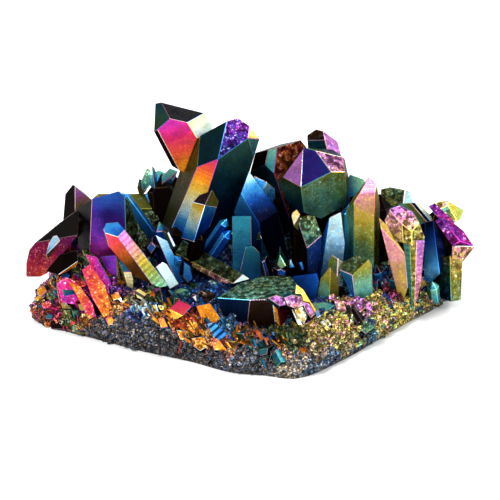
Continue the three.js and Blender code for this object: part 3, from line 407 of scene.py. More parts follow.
crystal("dark_right_back", "dark", [
    cut((35, 21, 10), (-0.1, 0, 1),
        (-2.2, 31, 8.07, tint("olive", 0.2, 0.9)), (50.4, 14.4, 5.03, film("sky", "ice", 0.9, 0.6)),
        (-0.4, 0.4, 3.02, tint("azure", 0.2, 0.4)), (-166, 32.2, 7.87), (157.1, 60.4, 12.02),
        (-97.8, -4, 3.26), (114.1, 3.6, 3.52), (94.5, 3.2, 3.9), (-178.2, -0.6, 4.12), (180, -90, 3)),
])
crystal("pastel_point", "olive", [
    cut((38, 10, 23), (0.7, 0, 0.7),
        (-15.4, -12.1, 1.62, film("teal", "gold", 0.95, 0.2)), (46.7, 31, 1.45, SHADE_BLACK),
        (63.9, 36.5, 1.31, GLARE), (-162.3, 72, 1.75), (36.8, -57.8, 3.63), (-121.8, -42.1, 1.35),
        (-171.7, 48.9, 1.03), (145.6, 30.4, 1.31), (172.9, -5.9, 3.1)),
    shade_prism((41, 14, 6), (38.6, 10.6, 23), 4),
])
crystal("deep_blue_prism", "blue", [
    cut((43, 7, 12), (-0.2, 0, 1),
        (-19, -1.9, 1.86, film("sky", "navy", (1.1, 0.12), 0.3, start=0.3)),
        (53.9, 7.7, 1.3, film("cobalt", "navy", (0.4, 0.08))), (177.1, 36.3, 4.56), (-130.1, 0.5, 1.76),
        (142.6, 38.9, 4.65), (122.7, 6.6, 2.44), (111.1, -30.5, 1.35), (180, -90, 7)),
])
crystal("olive_right_block", "olive", [
    cut((49, 7, 13), (0, 0.2, 1),
        (24.5, 9.9, 1.29, film("gold", "rose", 0.85, 0.9)), (-175.2, 57.4, 1.54), (80.3, -39.8, 0.8),
        (-72.8, -64, 1.31), (-107.2, -4.2, 1.93), (-179.8, -10.4, 3.31)),
    cut((46, 7, 9), (-0.1, 0.1, 1),
        (25.6, 5.1, 2.34, film("olive", "gold", (0.55, 0.8), 0.8)),
        (-43.3, 0.9, 1.94, film("azure", "olive", (0.04, 0.3), 0.8)), (-178.7, 58.5, 2.77),
        (118.2, -3.7, 1.88), (-133, 5.1, 1.27), (180, -90, 6.5)),
])
crystal("black_blade", "dark", [
    cut((-42, -4, 16), (1, 0, 0.3),
        (-14, 22.3, 1.08, SHADE_BLACK), (11.9, -12.6, 2.31, tint("orange", 0.9)), (-139.6, 22.5, 0.76),
        (-175.1, 34.9, 0.8), (123.1, -9, 1.94), (-42.1, -68.7, 3.12), (125.1, -58.6, 1.49),
        (-108.9, 32, 1.63)),
])
crystal("purple_stub", "violet", [
    cut((-31, -3, 15), (0, 0.1, 1),
        (-8.1, 6.6, 1.59, tint("violet", 1, 0.25)), (72.1, 3.6, 1.6, GLARE), (-176.2, 45.6, 0.81),
        (-114, -27.3, 0.86), (161.8, 49.5, 1.31), (129.4, -2.4, 1.19)),
])
crystal("yellow_green_blade", "gold", [
    cut((-27, -4, 11), (0, 0, 1),
        (-0.2, 20.3, 1.82, film("teal", "azure", 0.6, 0.5)),
        (-0.2, 0.8, 0.99, film("yellow", "straw", 0.8, 0.5)), (-137, 17.5, 2.87), (144.7, 17.2, 1.12),
        (100.8, -4.1, 0.62), (-65.7, -13.2, 1.08), (107.8, 13.2, 0.76), (172.9, -5.9, 2.57),
        (180, -90, 6)),
])
crystal("banded_stub", "olive", [
    cut((-24, -11, 11), (0.5, 0, 0.9),
        (4.2, 21.5, 0.58, film("straw", "yellow", 1, 0.1, 1)), (-150.9, 26, 0.79), (143.1, 15.4, 0.37),
        (120.2, -45.7, 0.47), (-121, -66, 0.76), (-114.7, -29.4, 0.79)),
    shade_prism((-24.5, -8.5, 5), (-24.5, -10.2, 11.6), 2),
])
crystal("mint_tip", "teal", [
    cut((19, -3, 6), (-0.2, 0.2, 1),
        (-25.5, 3.3, 2.01, film("mint", "olive", 0.85)), (48.4, 0.3, 1.79, GLARE), (-142.6, 22.5, 3.93),
        (-128.7, 1.3, 0.87), (113.3, 54.1, 8.69), (122.5, 1.2, 1.52), (-177.3, -10.3, 1.82),
        (180, -90, 1)),
])
crystal("olive_tip", "olive", [
    cut((18, -7, 5), (0, 0.1, 1),
        (-0.6, 4.5, 1.35, film("azure", "gold", (0.6, 0.5), 0.4)),
        (7.4, 4.3, 1.3, film("olive", "gold", 0.22, 0.5)), (-146, 20.8, 3.63), (-130.6, 3.9, 1.93),
        (143.6, 24.6, 4.1), (123.7, 0.9, 1.24), (180, -90, 1)),
])
crystal("dark_tip", "dark", [
    cut((24, -4, 14), (-0.1, 0, 1),
        (-23.8, 50.1, 1.95, tint("olive", 0.14, 0.8)),
        (28.5, 2.9, 2.13, film("azure", "gold", (0.35, 0.8), 0.5)),
        (-35.3, -4.4, 3.15, film("cobalt", "sky", 0.85)), (-155.1, 25.7, 2.21), (140.9, 25.1, 2.07),
        (95.3, 3.5, 3.28), (-94.9, -13.2, 3.71), (-120.7, -31.6, 2.47), (-154.8, 58, 3.25),
        (180, -90, 10)),
])
crystal("blue_block", "blue", [
    cut((11, -7, 6), (0.6, 0.1, 0.8),
        (-5.3, 9.5, 2.11, film("navy", "cobalt", (0.35, 1.1), 0.25)), (-177.8, 32.4, 3.69),
        (128.9, 6, 3.3), (119.9, -11.7, 1.61), (-132.1, 6.1, 1.45), (180, -90, 2)),
])
crystal("orange_leaf", "gold", [
    cut((12, -18, 12), (-0.4, 0.3, 0.8),
        (26.6, 29.3, 0.76, film("orange", "yellow", (0.75, 0.9), 0.5)), (155.4, 28.9, 1.71),
        (135.7, 13.1, 0.78), (114.9, -28.7, 2.4), (-84.2, -35.8, 0.91), (-122.5, -15.7, 0.83)),
])
crystal("pink_rhomb", "magenta", [
    cut((-15, -17, 10), (-0.2, 0.7, 0.6),
        (7.5, 50.9, 0.64, film("scarlet", "crimson", 1.05, 0.12)),
        (-15.9, 9.3, 1.7, film("yellow", "orange", 1)),
        (63.6, -28.5, 1.49, film("olive", "gold", 0.3, 0.5)), (-132.1, 13.1, 1.43), (153.3, 24.5, 1.25),
        (84.6, -56.3, 1.04), (-115.8, -27.1, 1.66), (117.5, -30.7, 1.47)),
])
crystal("orange_wedge", "gold", [
    cut((-9, -19, 10), (-0.6, 0.3, 0.8),
        (4.1, 21.8, 0.34, tint("orange", (0.9, 1), 0.4)), (-166.3, 30.2, 1.37), (138.5, 12.3, 0.97),
        (166.5, -78.7, 1.85), (-124.2, -68.7, 1.41), (-116.7, -28, 1.51)),
])
crystal("ribbed_fragment", "teal", [
    cut((-7, -25, 8), (-0.5, 0, 0.9),
        (20.2, 31.8, 0.16, film("cobalt", "sky", 0.95, 0.5, 1)), (-152.9, 27.1, 1.91), (149.8, 22.1, 1.09),
        (116.7, -31.8, 3.33), (-115.3, -59.5, 0.92), (-115.6, -34.8, 0.72)),
])
crystal("encrusted_ridges", "magenta", [
    cut((-41, -8, 11), (0, 0, 1),
        (-12.1, 20, 1.7, film("magenta", "crimson", 1, 0.74)), (-127.4, 48.1, 1.94), (140.2, 48.9, 2),
        (107.4, 7.6, 1.94), (88, -35.9, 3.08), (-26.1, -71.8, 2.95), (-86.6, -14.7, 1.51),
        (172.9, -5.9, 6.97)),
    cut((-36, -11, 8), (1, 0, -0.2),
        (8.4, 15.8, 0.65, film("orange", "crimson", 1.05, 0.72)), (148, 52.4, 3.39), (118.4, 27.8, 1.07),
        (106.8, 7.1, 1.09), (-57.9, -59.7, 1.64), (-81.7, -27.1, 0.99)),
    cut((-34, -10, 11), (-0.9, 0, 0.3),
        (-1.6, 10, 1.2, film("orange", "crimson", 1.05, 0.72)), (-124, 45.6, 5.59), (117.6, 27.8, 2.09),
        (108.4, 11.7, 1.92), (73.7, -54, 5.6), (-81.4, -28.6, 1.52), (-86, -18, 1.37),
        (172.9, -5.9, 7.86)),
    cut((-32, -7, 12), (0.9, 0, 0.4),
        (6.4, 12.7, 1.22, film("crimson", "violet", 1, 0.65)), (156.6, 56.4, 4.69), (114.3, 23.1, 0.73),
        (109.3, 14.1, 0.7), (78.1, -49.6, 5.05), (-83.7, -24.5, 1.35)),
    prism((-43, -5, 9), (-28, -4.6, 11), 6,
          sides=film("scarlet", "crimson", 0.5, 0.8), tips=tint("orange", 0.5, 0.8)),
])
crystal("teal_blade", "teal", [
    prism((-21, 11, 14), (-29.6, 15, 25.2), 2.6, 1.8,
          sides=film("cobalt", "sky", (0.3, 0.7)), tips=film("cobalt", "sky", 0.6)),
])
crystal("brown_back_point", "dark", [
    cut((9, 24, 18), (0, 0, 1),
        (-28.7, 15.5, 8.6, SHADE_BLACK), (-6.6, 12.8, 6.54, film("teal", "mint", 0.85, 0.35)),
        (16, 9.7, 4.59, film("orange", "scarlet", (0.06, 0.4), 1, start=0.3)),
        (-18.4, -1.5, 4.61, film("azure", "teal", 0.12, 0.4)), (-127.5, 69.6, 15.27), (-129.5, 5.3, 6.49),
        (-168.6, 62.4, 14.68), (-139.1, 55.1, 14.07), (142.1, 25.7, 8.46), (98, 2.1, 4.94),
        (-179.2, 0.9, 5.21), (180, -90, 8)),
])
crystal("blue_violet_point", "violet", [
    cut((3, 16, 24), (0.2, 0.2, 1),
        (-7.5, 27.1, 2.5, film("cobalt", "sky", 1, 0.4)),
        (24.7, 5.9, 1.65, film("navy", "ice", (0.4, 1), 0.7)), (143.5, 41.8, 2.41), (-87.1, -31.9, 1.93),
        (125.9, 1.4, 2.14), (-128.2, -71.9, 2.55), (-98.3, -1, 1.98), (178.2, -11, 4.34)),
    shade_prism((6, 18.5, 8), (4.4, 17, 26), 4.2),
])
crystal("olive_back_slab", "olive", [
    prism((-21, 28, 14), (-43, 26.5, 14.5), 11.5, 8, sides=film("olive", "gold", 0.35, 0.6)),
])
crystal("left_spray", "teal", [
    cut((-26, 29, 21), (0, 0, 1),
        (-50.8, 15, 0.87, tint("olive", 0.12, 0.7)), (-106.5, 10.6, 0.91), (138.6, 50.4, 1.8),
        (110.5, 7.8, 0.56), (93.6, -34.6, 0.7), (-93, -24.4, 0.74)),
    cut((-25, 28, 23), (0, 0, 1),
        (-29.8, 30.8, 1, film("teal", "olive", (0.3, 0.8), 0.8)), (-110.7, 17.9, 0.8), (125.1, 34.4, 2.64),
        (106.2, -5.6, 1.14), (95.3, -41.5, 0.85), (-41.3, -79.8, 1.33), (-96.8, -14.6, 0.66),
        (172.9, -5.9, 3.42)),
    cut((-23, 27, 24), (0, 0, 1),
        (-18.4, 31.3, 1.62, film("mint", "olive", 0.9, 0.5)),
        (56.7, 23.8, 1.17, film("cobalt", "ice", (0.3, 0.6), 0.8)),
        (-19.9, 24, 1.47, film("azure", "mint", (0.1, 0.5), 0.6)), (-110.1, 16.7, 1.2),
        (128.9, 38.1, 2.17), (111.2, 6, 0.94), (96.2, -29.6, 1.06), (-81.8, -57.1, 1.21),
        (-99.3, -9.7, 0.47)),
    cut((-21, 28, 25), (0, 0, 1),
        (1.4, 44.3, 0.64, film("azure", "mint", (0.9, 1.1), 0.6)), (-136, 45.6, 1.15), (142.7, 46.4, 0.65),
        (105.1, -5.5, 0.93), (76.1, -74.2, 1.63), (-92.9, -26.4, 1.33), (172.9, -5.9, 3.44)),
    cut((-19, 27, 24), (0, 0, 1),
        (4.4, 50.7, 1.25, film("teal", "mint", (0.7, 1), 0.5)),
        (35, 2.9, 0.72, film("cobalt", "ice", (0.3, 0.6), 0.8)), (-117.6, 30.4, 1.77), (145.3, 47.9, 2.6),
        (-84.4, -29.5, 2.56), (99.1, -28.2, 0.87), (92.6, -46.6, 1.28), (-97.3, -12.9, 1.51),
        (172.9, -5.9, 3.88)),
    cut((-24, 27, 20), (0, 0, 1),
        (-30.8, 38.8, 0.8, film("cobalt", "ice", (0.5, 1.1), 0.5)), (-117.2, 27.6, 0.77),
        (140.9, 47.4, 1.97), (103.5, -11.2, 1.38), (85.5, -61.1, 1.02), (-88.1, -35.4, 0.61),
        (172.9, -5.9, 3.47)),
    cut((-21, 27, 21), (0, 0, 1),
        (8, 42.1, 1.1, film("indigo", "azure", (0.4, 0.9), 0.4)), (-145.8, 49.8, 1.07),
        (120.1, 24.7, 1.44), (94.2, -39.5, 0.93), (-59.8, -78.6, 1.32), (-97.1, -13.8, 0.9),
        (172.9, -5.9, 3.44)),
    shade_prism((-19.5, 23, 9), (-21, 27.5, 25.5), 7, 5),
    shade_prism((-19, 26, 9), (-18, 28.5, 25), 5, 5),
])


def random_source(seed):
    """A repeatable source of numbers from 0 to 1, the same one that the solid model draws from."""
    mask = 0xFFFFFFFF
    state = seed

    def draw():
        nonlocal state
        state = (state + 0x6D2B79F5) & mask
        t = ((state ^ (state >> 15)) * (1 | state)) & mask
        t = ((t + (((t ^ (t >> 7)) * (61 | t)) & mask)) ^ t) & mask
        return (t ^ (t >> 14)) / (mask + 1)

    return draw


# The points of the rear rim: how far each stands along it, and its coat.
BACK_POINTS = ((-38, "blue"), (-12, "teal"), (-2, "violet"), (9, "olive"), (25, "gold"), (40, "dark"))
BACK_SEED = 7
REAR, REAR_CURVE = 30.5, 0.004  # the rim lies at y = REAR - REAR_CURVE * x * x
BACK_ROOT, BACK_LEAN = 0.92, 1.06  # the share of x at which a root and a tip stand
BACK_SINK, BACK_DEPTH = 6, 8  # a root's height, and how far in from the rim it stands


def back_points():
    """The points of the rear rim, which lean out and back from the slab."""
    draw = random_source(BACK_SEED)
    made = []
    for i, (x, coat) in enumerate(BACK_POINTS):
        y = REAR - REAR_CURVE * x * x
        height = 15 + 5 * draw()
        width = 5 + 2.5 * draw()
        tip = (x * BACK_LEAN + 2 * draw(), y - 1, height)
        turn = math.floor(SIDE_ANGLE * draw() + 0.5)
        body = prism((x * BACK_ROOT, y - BACK_DEPTH, BACK_SINK), tip, width, turn=turn)
        made.append((f"back_point_{i + 1}", coat, [body]))
    return made


CRYSTALS += back_points()

# The splinters that lie on the slab, in its cracks and round the feet of the crystals.
CHIPS = [chip(*row) for row in (
    (tint("orange", 0.72, 0.6), (-46.1, -0.8, 7.3), (-46.9, 0.5, 8.2), (-48.6, 1.1, 7), (-48.5, 0.2, 5.9),
     (-47.5, -0.7, 5.8)),
    (film("yellow", "orange", 0.77, 0.6), (-46.4, -0.5, 6.4), (-47.9, 0.4, 6), (-49.3, 0.6, 4.9),
     (-48.8, -0.2, 4.5), (-47.6, -1, 4.9)),
    (tint("teal", 0.77, 0.4), (-43.7, 0.5, 9.4), (-44.5, 2.2, 10), (-45.7, 3.2, 9.3), (-45.7, 1.9, 8.1),
     (-44.6, 0.4, 8)),
    (tint("straw", 0.68, 0.5), (-43.4, -1.4, 12), (-44.3, -1.3, 11.4), (-43.5, -2.7, 10.8),
     (-42.9, -2.7, 11.3)),
    (film("cobalt", "sky", 0.85, 0.4), (-40.3, -5.5, 13.2), (-41.3, -3.8, 13.5), (-42.7, -4.4, 12.5),
     (-42.1, -6.1, 12), (-40.9, -6.5, 12.4)),
    (tint("olive", 0.2, 0.9), (-43.9, -2.5, 8.5), (-46.2, -2.3, 7.4), (-45.2, -3.7, 5.8),
     (-43.4, -3.9, 6.6)),
    (film("crimson", "scarlet", 0.64, 0.7), (-44.1, -3.6, 5.5), (-45.3, -3.2, 6.1), (-47.3, -3.3, 5.4),
     (-46.9, -3.9, 4.2), (-44.6, -4.1, 4.3)),
    (tint("crimson", 0.35, 0.8), (-46.3, -3.4, 2.2), (-46.7, -2.9, 4), (-48.1, -2.5, 4.1),
     (-48.1, -2.9, 2.5), (-47.5, -3.3, 1.4)),
    (SHADE_BLACK, (-42.1, -7, 2.6), (-43.8, -5.9, 3.1), (-45.2, -5.5, 1.4), (-45, -5.9, 0.1),
     (-42.4, -7.3, 0.7)),
    (film("scarlet", "orange", 0.77, 0.6), (-45.3, -4.1, 1.8), (-46.7, -4.6, 1), (-46.2, -5.2, -0.4),
     (-45.3, -4.9, -0.1)),
    (tint("teal", 0.5, 0.6), (-44.3, -5, 3.7), (-46.1, -4.7, 3.5), (-46.1, -5.2, 2.3), (-44.7, -5.4, 2.4)),
    (tint("scarlet", 0.81, 0.4), (-39.2, -8.9, 3.7), (-40.4, -8.5, 3.3), (-40.2, -8.6, 0.8),
     (-38.9, -9, 0.5)),
    (SHADE_BLACK, (-36.2, -9.8, 4.1), (-37.1, -9.3, 4.6), (-38.7, -9.7, 2.8), (-38.5, -10.3, 1.6),
     (-36.7, -10.6, 2)),
    (tint("gold", 0.68, 0.7), (-40.1, -8.1, 6), (-41.2, -8.2, 7.5), (-42.5, -7.8, 7.6),
     (-42.2, -7.3, 5.7)),
    (film("crimson", "magenta", 0.85, 0.6), (-38.2, -10.4, 9.2), (-38.8, -10.9, 10.9), (-41, -11.1, 10.5),
     (-40.9, -10.5, 8.5), (-39.4, -10.1, 7.9)),
    (film("olive", "gold", 0.3, 1), (-39.9, -7.6, 5.6), (-42.7, -6.4, 5.3), (-42.3, -7.4, 4),
     (-40.4, -8.3, 3.9)),
    (film("teal", "olive", 0.3, 1), (-36.9, -8.9, 4.7), (-37.2, -8.7, 5.8), (-39.8, -9, 6.2),
     (-39.4, -9.3, 4.4)),
    (tint("gold", 0.59, 0.6), (-36.9, -11.2, 8.8), (-38.5, -9.9, 8), (-37.9, -10.4, 6.6),
     (-36.4, -11.5, 7)),
    (tint("orange", 0.68, 0.8), (-34.2, -11.8, 6), (-35.1, -11.5, 7.5), (-36.9, -11, 6.6),
     (-36.1, -11.3, 4.7)),
    (film("scarlet", "orange", 0.77, 0.7), (-29.4, -8.5, 10.6), (-31.2, -8.9, 10), (-30.5, -10.1, 8.9),
     (-28.7, -9.7, 9.4)),
    (GLARE, (-28.7, -9.6, 9.6), (-29.6, -9.8, 9.2), (-28.5, -10.3, 8.7)),
    (film("orange", "scarlet", 0.72, 0.7), (-30.6, -12.4, 6.2), (-32.2, -12.4, 5.7), (-31.5, -13.4, 4.5),
     (-29.7, -13.6, 4.6)),
    (tint("teal", 0.3, 0.6), (-29.5, -11.9, 7.7), (-30.4, -11.6, 7.3), (-30.2, -12.8, 5.6),
     (-29.3, -13.1, 6)),
    (film("violet", "magenta", 0.5, 1), (-30, -5.8, 13.1), (-31.5, -6.9, 13), (-31, -7.8, 11.5),
     (-29.5, -6.8, 11.5)),
    (tint("violet", 0.4, 1), (-28.7, -1.8, 10.4), (-30.2, -3.1, 11.7), (-29.9, -4.9, 10),
     (-28.9, -3.7, 9.3)),
    (film("indigo", "violet", 0.35, 1), (-29, -8.1, 9.9), (-29.5, -7.5, 11.4), (-31.2, -8.5, 11.8),
     (-30.7, -9.2, 9.9)),
    (film("indigo", "azure", 0.5, 0.5), (-21, -3.5, 9.9), (-23, -2, 11.2), (-24.5, -3.9, 10.6),
     (-23.8, -5.2, 9.6), (-22, -5.5, 9.1)),
    (film("rose", "lilac", 0.94, 0.4), (-19.6, -8.3, 10), (-20.1, -7.3, 11), (-21.7, -6.4, 10.4),
     (-21, -7.9, 8.6)),
    (film("orange", "scarlet", 0.85, 0.4), (-21, -8.7, 9.2), (-21.5, -6.8, 10.3), (-22.6, -6.8, 9.9),
     (-22.3, -8.9, 8.6)),
    (tint("navy", 0.51, 0.4), (-17.6, -8.9, 9), (-18.4, -6.9, 10.1), (-20.1, -7.7, 10.7),
     (-19.3, -11.4, 8.9)),
    (film("teal", "olive", 0.77), (-13.5, -5.4, 9.5), (-15.5, -5.1, 9.9), (-17.9, -6.2, 9.4),
     (-17.2, -7, 8.7), (-15.2, -6.9, 8.7), (-12.1, -6.4, 8.7)),
    (SHADE_BLACK, (-11.1, -10.8, 8.9), (-13.8, -9, 9.6), (-17.8, -10, 9.5), (-15.8, -10.5, 9.3),
     (-13.3, -12.7, 8.5)),
    (GLARE, (-12, -8.9, 9.8), (-12.9, -9.7, 9.7), (-12.4, -11.4, 8.9), (-11.8, -11.3, 8.9)),
    (tint("bronze", 0.5, 1), (-7.8, -8.8, 9), (-8.5, -7, 9.9), (-11.6, -6.8, 10.1), (-11.8, -9.9, 8.5),
     (-10.2, -11, 8)),
    (film("cobalt", "ice", 0.85, 1), (-4.1, -1.2, 8.4), (-5, 0, 9.4), (-7.7, 0.7, 10.1), (-9.5, -0.2, 9.5),
     (-9.1, -1.7, 8.4), (-6.8, -2.2, 7.9)),
    (film("teal", "olive", 0.25, 1), (-10.2, -0.8, 9.3), (-14.5, -0.6, 9.2), (-13.1, -3, 8.2),
     (-9.5, -3.2, 8.3)),
    (film("sky", "ice", 0.85, 0.9), (-23.9, -12.9, 7.9), (-25.3, -12, 8.9), (-27, -12.4, 8.6),
     (-25.7, -13.8, 7.1)),
    (film("cobalt", "sky", 0.77, 0.9), (-22.7, -14.2, 8.7), (-24.8, -13.8, 8), (-24.3, -15.1, 6.9),
     (-22.2, -15.6, 7.4)),
    (film("orange", "yellow", 0.51, 0.9), (-22.2, -10.2, 9.4), (-24.9, -10.5, 9), (-24, -12.1, 8),
     (-21.7, -11.7, 8.3)),
    (tint("orange", 0.81, 0.4), (-16.2, -17.1, 7.8), (-17.6, -14.2, 9.4), (-19.2, -15.3, 8.9),
     (-18.7, -16.7, 8.1), (-17.8, -17.7, 7.6)),
    (film("orange", "yellow", 0.68, 0.5), (-18.3, -14.6, 9.8), (-20.5, -14.2, 9.7), (-19.8, -15.2, 8.9),
     (-18.5, -15.5, 9)),
    (film("orange", "scarlet", 0.77, 0.5), (-17.9, -19.6, 6.8), (-18.9, -17.5, 8.2), (-20.2, -17.4, 7.9),
     (-19.5, -19.4, 6.4)),
    (tint("orange", 0.85, 0.4), (-13.1, -19.5, 7.7), (-13.6, -18, 8.7), (-16.2, -17.8, 7.9),
     (-15.3, -19.8, 6.6)),
    (SHADE_BLACK, (-9.4, -18.9, 8.1), (-11.9, -15.7, 9.8), (-13.2, -16.5, 9), (-13.1, -17.8, 8.1),
     (-11.1, -19, 7.7)),
    (tint("orange", 0.81, 0.6), (-10, -21.8, 6.8), (-11.8, -19.9, 8.3), (-13.7, -20.1, 8),
     (-13.5, -21.2, 7), (-11.5, -22.6, 6)),
    (film("yellow", "orange", 0.64, 0.4), (-8.1, -17.2, 9.8), (-9.6, -18.1, 9), (-7.9, -19.7, 8),
     (-6.1, -19.7, 8.3)),
    (SHADE_BLACK, (-9.6, -21, 8.6), (-11.3, -21.2, 8.2), (-9.5, -23.4, 5.9), (-8.2, -23.1, 6.4)),
    (tint("gold", 0.51, 0.7), (-8.9, -22.9, 8), (-10, -23.2, 7.4), (-8.6, -25.5, 4.5), (-7.8, -25.2, 5)),
    (tint("orange", 0.59, 0.9), (-8.9, -25.3, 4.8), (-10, -23.9, 6.5), (-12.8, -22.9, 5.6),
     (-12.4, -23.9, 4.2), (-10.8, -25, 3.5)),
    (film("orange", "scarlet", 0.81, 0.5), (-4.9, -27.6, 4.9), (-6.9, -25.6, 6.8), (-8.6, -25, 6.6),
     (-7.8, -26.7, 4.5)),
    (tint("orange", 0.64, 0.8), (-13.1, -22, 5), (-13.5, -21.3, 6.6), (-16.1, -21, 6.7),
     (-15.2, -21.9, 4.7)),
    (film("navy", "cobalt", 0.77, 0.6), (-3, -25.1, 6.4), (-4.8, -24.7, 7.4), (-5.2, -26.5, 5.6),
     (-3.7, -26.7, 5)),
    (tint("orange", 0.5, 0.8), (0.4, -25.8, 5.3), (-0.6, -24.9, 8), (-1.5, -25.5, 7.8), (-0.4, -26.6, 5)),
    (film("orange", "scarlet", 0.68, 0.5), (3.9, -25.8, 5.3), (2.2, -22.2, 7), (0.9, -22, 7.1),
     (2.6, -26.3, 5.1)),
    (film("yellow", "orange", 0.77), (5.9, -20.3, 4.5), (5.3, -17.6, 7.3), (4.6, -16.8, 6.7),
     (5.3, -19.8, 3.5)),
    (tint("orange", 0.72, 0.5), (5.6, -29.4, 5.3), (3.9, -25.2, 7.1), (3, -25.8, 7), (4.5, -30.4, 5.1)),
    (tint("rose", 0.51, 0.6), (2.8, -27.7, 5.2), (1.7, -26.4, 7), (0.4, -26.8, 6.5), (1.3, -28.3, 4.5)),
    (SHADE_BLACK, (0, -28.1, 4.9), (-1.3, -26.9, 6.7), (-3, -27.4, 6), (-1.7, -28.9, 3.9)),
    (tint("teal", 0.35, 0.6), (3.8, -30.1, 6.6), (1.5, -29.4, 5.8), (2.1, -30.1, 4.7), (3.6, -30.5, 5.3)),
    (film("azure", "mint", 0.77, 0.4), (6.4, -29.9, 6.5), (5.3, -30.6, 6.3), (6.6, -32, 4.2),
     (7.7, -31.6, 4)),
    (tint("olive", 0.14, 1), (11.2, -25.9, 8), (8.6, -24.6, 8.8), (5.6, -25.1, 7.8), (5.8, -27.3, 5.8),
     (7.5, -29.3, 4.1), (10.7, -28.3, 5.5)),
    (SHADE_BLACK, (4.8, -17.3, 5.5), (2.6, -18, 5.3), (3.5, -21, 4.3), (5.5, -20.3, 4.5)),
    (film("rose", "lilac", 0.77, 0.7), (13.3, -27, 6.8), (12.7, -26.2, 7.8), (11.4, -27.3, 7.2),
     (12, -28.3, 6)),
    (tint("orange", 0.51, 0.7), (12.2, -29.6, 6.1), (9.8, -29.3, 6.9), (9.8, -30.1, 6.1),
     (11.8, -30.5, 5.3)),
    (tint("lilac", 1.02, 0.9), (7.8, -20.4, 14), (5.6, -20.4, 14.7), (3.9, -21, 14.3), (6.5, -21.4, 12.5),
     (8.7, -20.8, 12.8)),
    (film("rose", "lilac", 1.06, 0.9), (11.7, -21, 12.6), (11.1, -20.4, 14.3), (9.1, -20.5, 14.8),
     (7.4, -20.9, 14.3), (8.2, -21.5, 12.6), (10, -21.6, 11.9)),
    (film("straw", "yellow", 0.89, 1), (12.6, -21.3, 10.1), (11.1, -20.8, 12.8), (9.5, -21.3, 12),
     (10.2, -21.7, 9.9), (11.7, -21.9, 8.3)),
    (tint("lilac", 0.98, 0.9), (14.1, -21.4, 10.7), (13, -20.6, 12.7), (11.3, -20.6, 13.2),
     (12.1, -21.4, 11.4), (13.2, -22, 10)),
    (film("violet", "magenta", 0.85, 0.8), (13.5, -21, 8.8), (13.7, -19.7, 9.9), (12.2, -20.3, 9.2),
     (12.4, -22.1, 7.9)),
    (tint("straw", 0.85, 0.7), (11.7, -22.6, 8.1), (9.8, -20.7, 11.3), (8.9, -20.5, 11.7),
     (10.6, -22.6, 7.9)),
    (film("sky", "ice", 0.94, 0.6), (14.9, -16.9, 9.9), (13.6, -17.8, 9.3), (14.2, -19.3, 8.3),
     (15.5, -18.4, 8.9)),
    (film("teal", "olive", 0.59, 0.5), (18.8, -12.9, 9.1), (16.4, -12.8, 9.8), (13.5, -13.7, 9.9),
     (14.5, -15.4, 8.5), (17, -14.6, 8.4)),
    (tint("rose", 1.06, 1), (21.4, -13.8, 8), (20.8, -12, 9.4), (18.6, -11.5, 9.7), (19.4, -14.3, 7.5)),
    (film("rose", "lilac", 1.06, 1), (25.8, -11.1, 7.8), (24.5, -9.9, 9), (22.2, -10.9, 8.7),
     (22.4, -12.5, 7.5), (23.9, -13.1, 6.8)),
    (film("rose", "lilac", 0.94, 1), (26.6, -3.5, 8.7), (26.2, -2.3, 9.6), (23, -4.3, 9.3),
     (23.4, -5.6, 8.1), (24.7, -5.5, 7.8)),
    (tint("magenta", 0.77, 1), (29, -0.7, 10), (26.3, -0.7, 8.7), (26.7, -2.7, 7.9), (28.7, -2.6, 8.8)),
    (SHADE_BLACK, (23, -9.7, 7.7), (20.9, -4.8, 10), (20, -4.5, 10.3), (20.6, -8.2, 8.7), (22.2, -11.3, 7.2)),
    (SHADE_BLACK, (24.8, -17.2, 6.9), (22.9, -14.1, 9.1), (22.1, -14.5, 8.6), (23.9, -18, 6.1)),
    (film("mint", "olive", 0.5, 0.9), (27.5, -16.5, 5.4), (25.5, -16.4, 7), (23.9, -17.2, 6.9),
     (24.4, -18.1, 5.4), (25.5, -18.2, 4.5)),
    (tint("straw", 0.94, 0.9), (17.9, -20.5, 7.7), (17, -19.8, 8.8), (15.2, -20.6, 8.4),
     (16.1, -21.5, 7.2)),
    (film("sky", "ice", 0.85, 0.7), (33.1, -7.5, 2.1), (32.6, -7.2, 3.7), (31, -8, 4), (31.5, -8.4, 1.7)),
    (film("sky", "ice", 0.94, 0.6), (44.4, 9.4, 4.9), (43.5, 10.9, 7.6), (41.8, 9.6, 7.6), (42.4, 8, 5),
     (43.3, 7.4, 3.5)),
    (film("olive", "rose", 0.68, 0.6), (40.6, 4.3, 6.8), (40, 5.8, 8.2), (38.3, 4.4, 8), (39.2, 2.6, 6.3)),
    (tint("rose", 0.94, 0.5), (32.9, 3.3, 9.8), (31.1, 2.8, 9.2), (32.4, 1.1, 7.7), (34, 1.6, 8.2)),
    (film("sky", "ice", 1.02, 0.6), (46.6, 9.9, 2.7), (44.5, 9.5, 2.4), (44.7, 8.9, 0.9), (46.1, 9.1, 1)),
    (SHADE_BLACK, (46.6, 10.6, 4.2), (44.3, 10.3, 3.8), (44.5, 9.2, 2.5), (46.5, 9.3, 2.7)),
    (tint("orange", 0.68, 0.6), (37.8, 3.9, 7.8), (36.2, 4, 7.2), (36.9, 3.2, 5.6), (38.3, 3.2, 6.1)),
    (film("mint", "olive", 0.85), (6.7, -2.5, 16.8), (6.1, -3, 14.6), (7, -3.3, 13.7), (8.1, -3.3, 14.4)),
    (tint("cobalt", 0.85, 0.4), (8.1, -2.8, 14), (7, -3.1, 13.7), (6.1, -3.1, 14.4), (6.3, -3.6, 12.4),
     (7.9, -3.4, 12.1)),
    (film("cobalt", "sky", 0.85, 0.4), (12.8, -3.1, 14.1), (12.1, -2.6, 15.6), (11, -2.9, 15),
     (11.7, -3.5, 13.3)),
    (film("navy", "cobalt", 0.59, 0.5), (4.5, -1.5, 11.5), (3.4, -0.4, 14.7), (2.7, -0.5, 14.3),
     (3.6, -1.6, 11)),
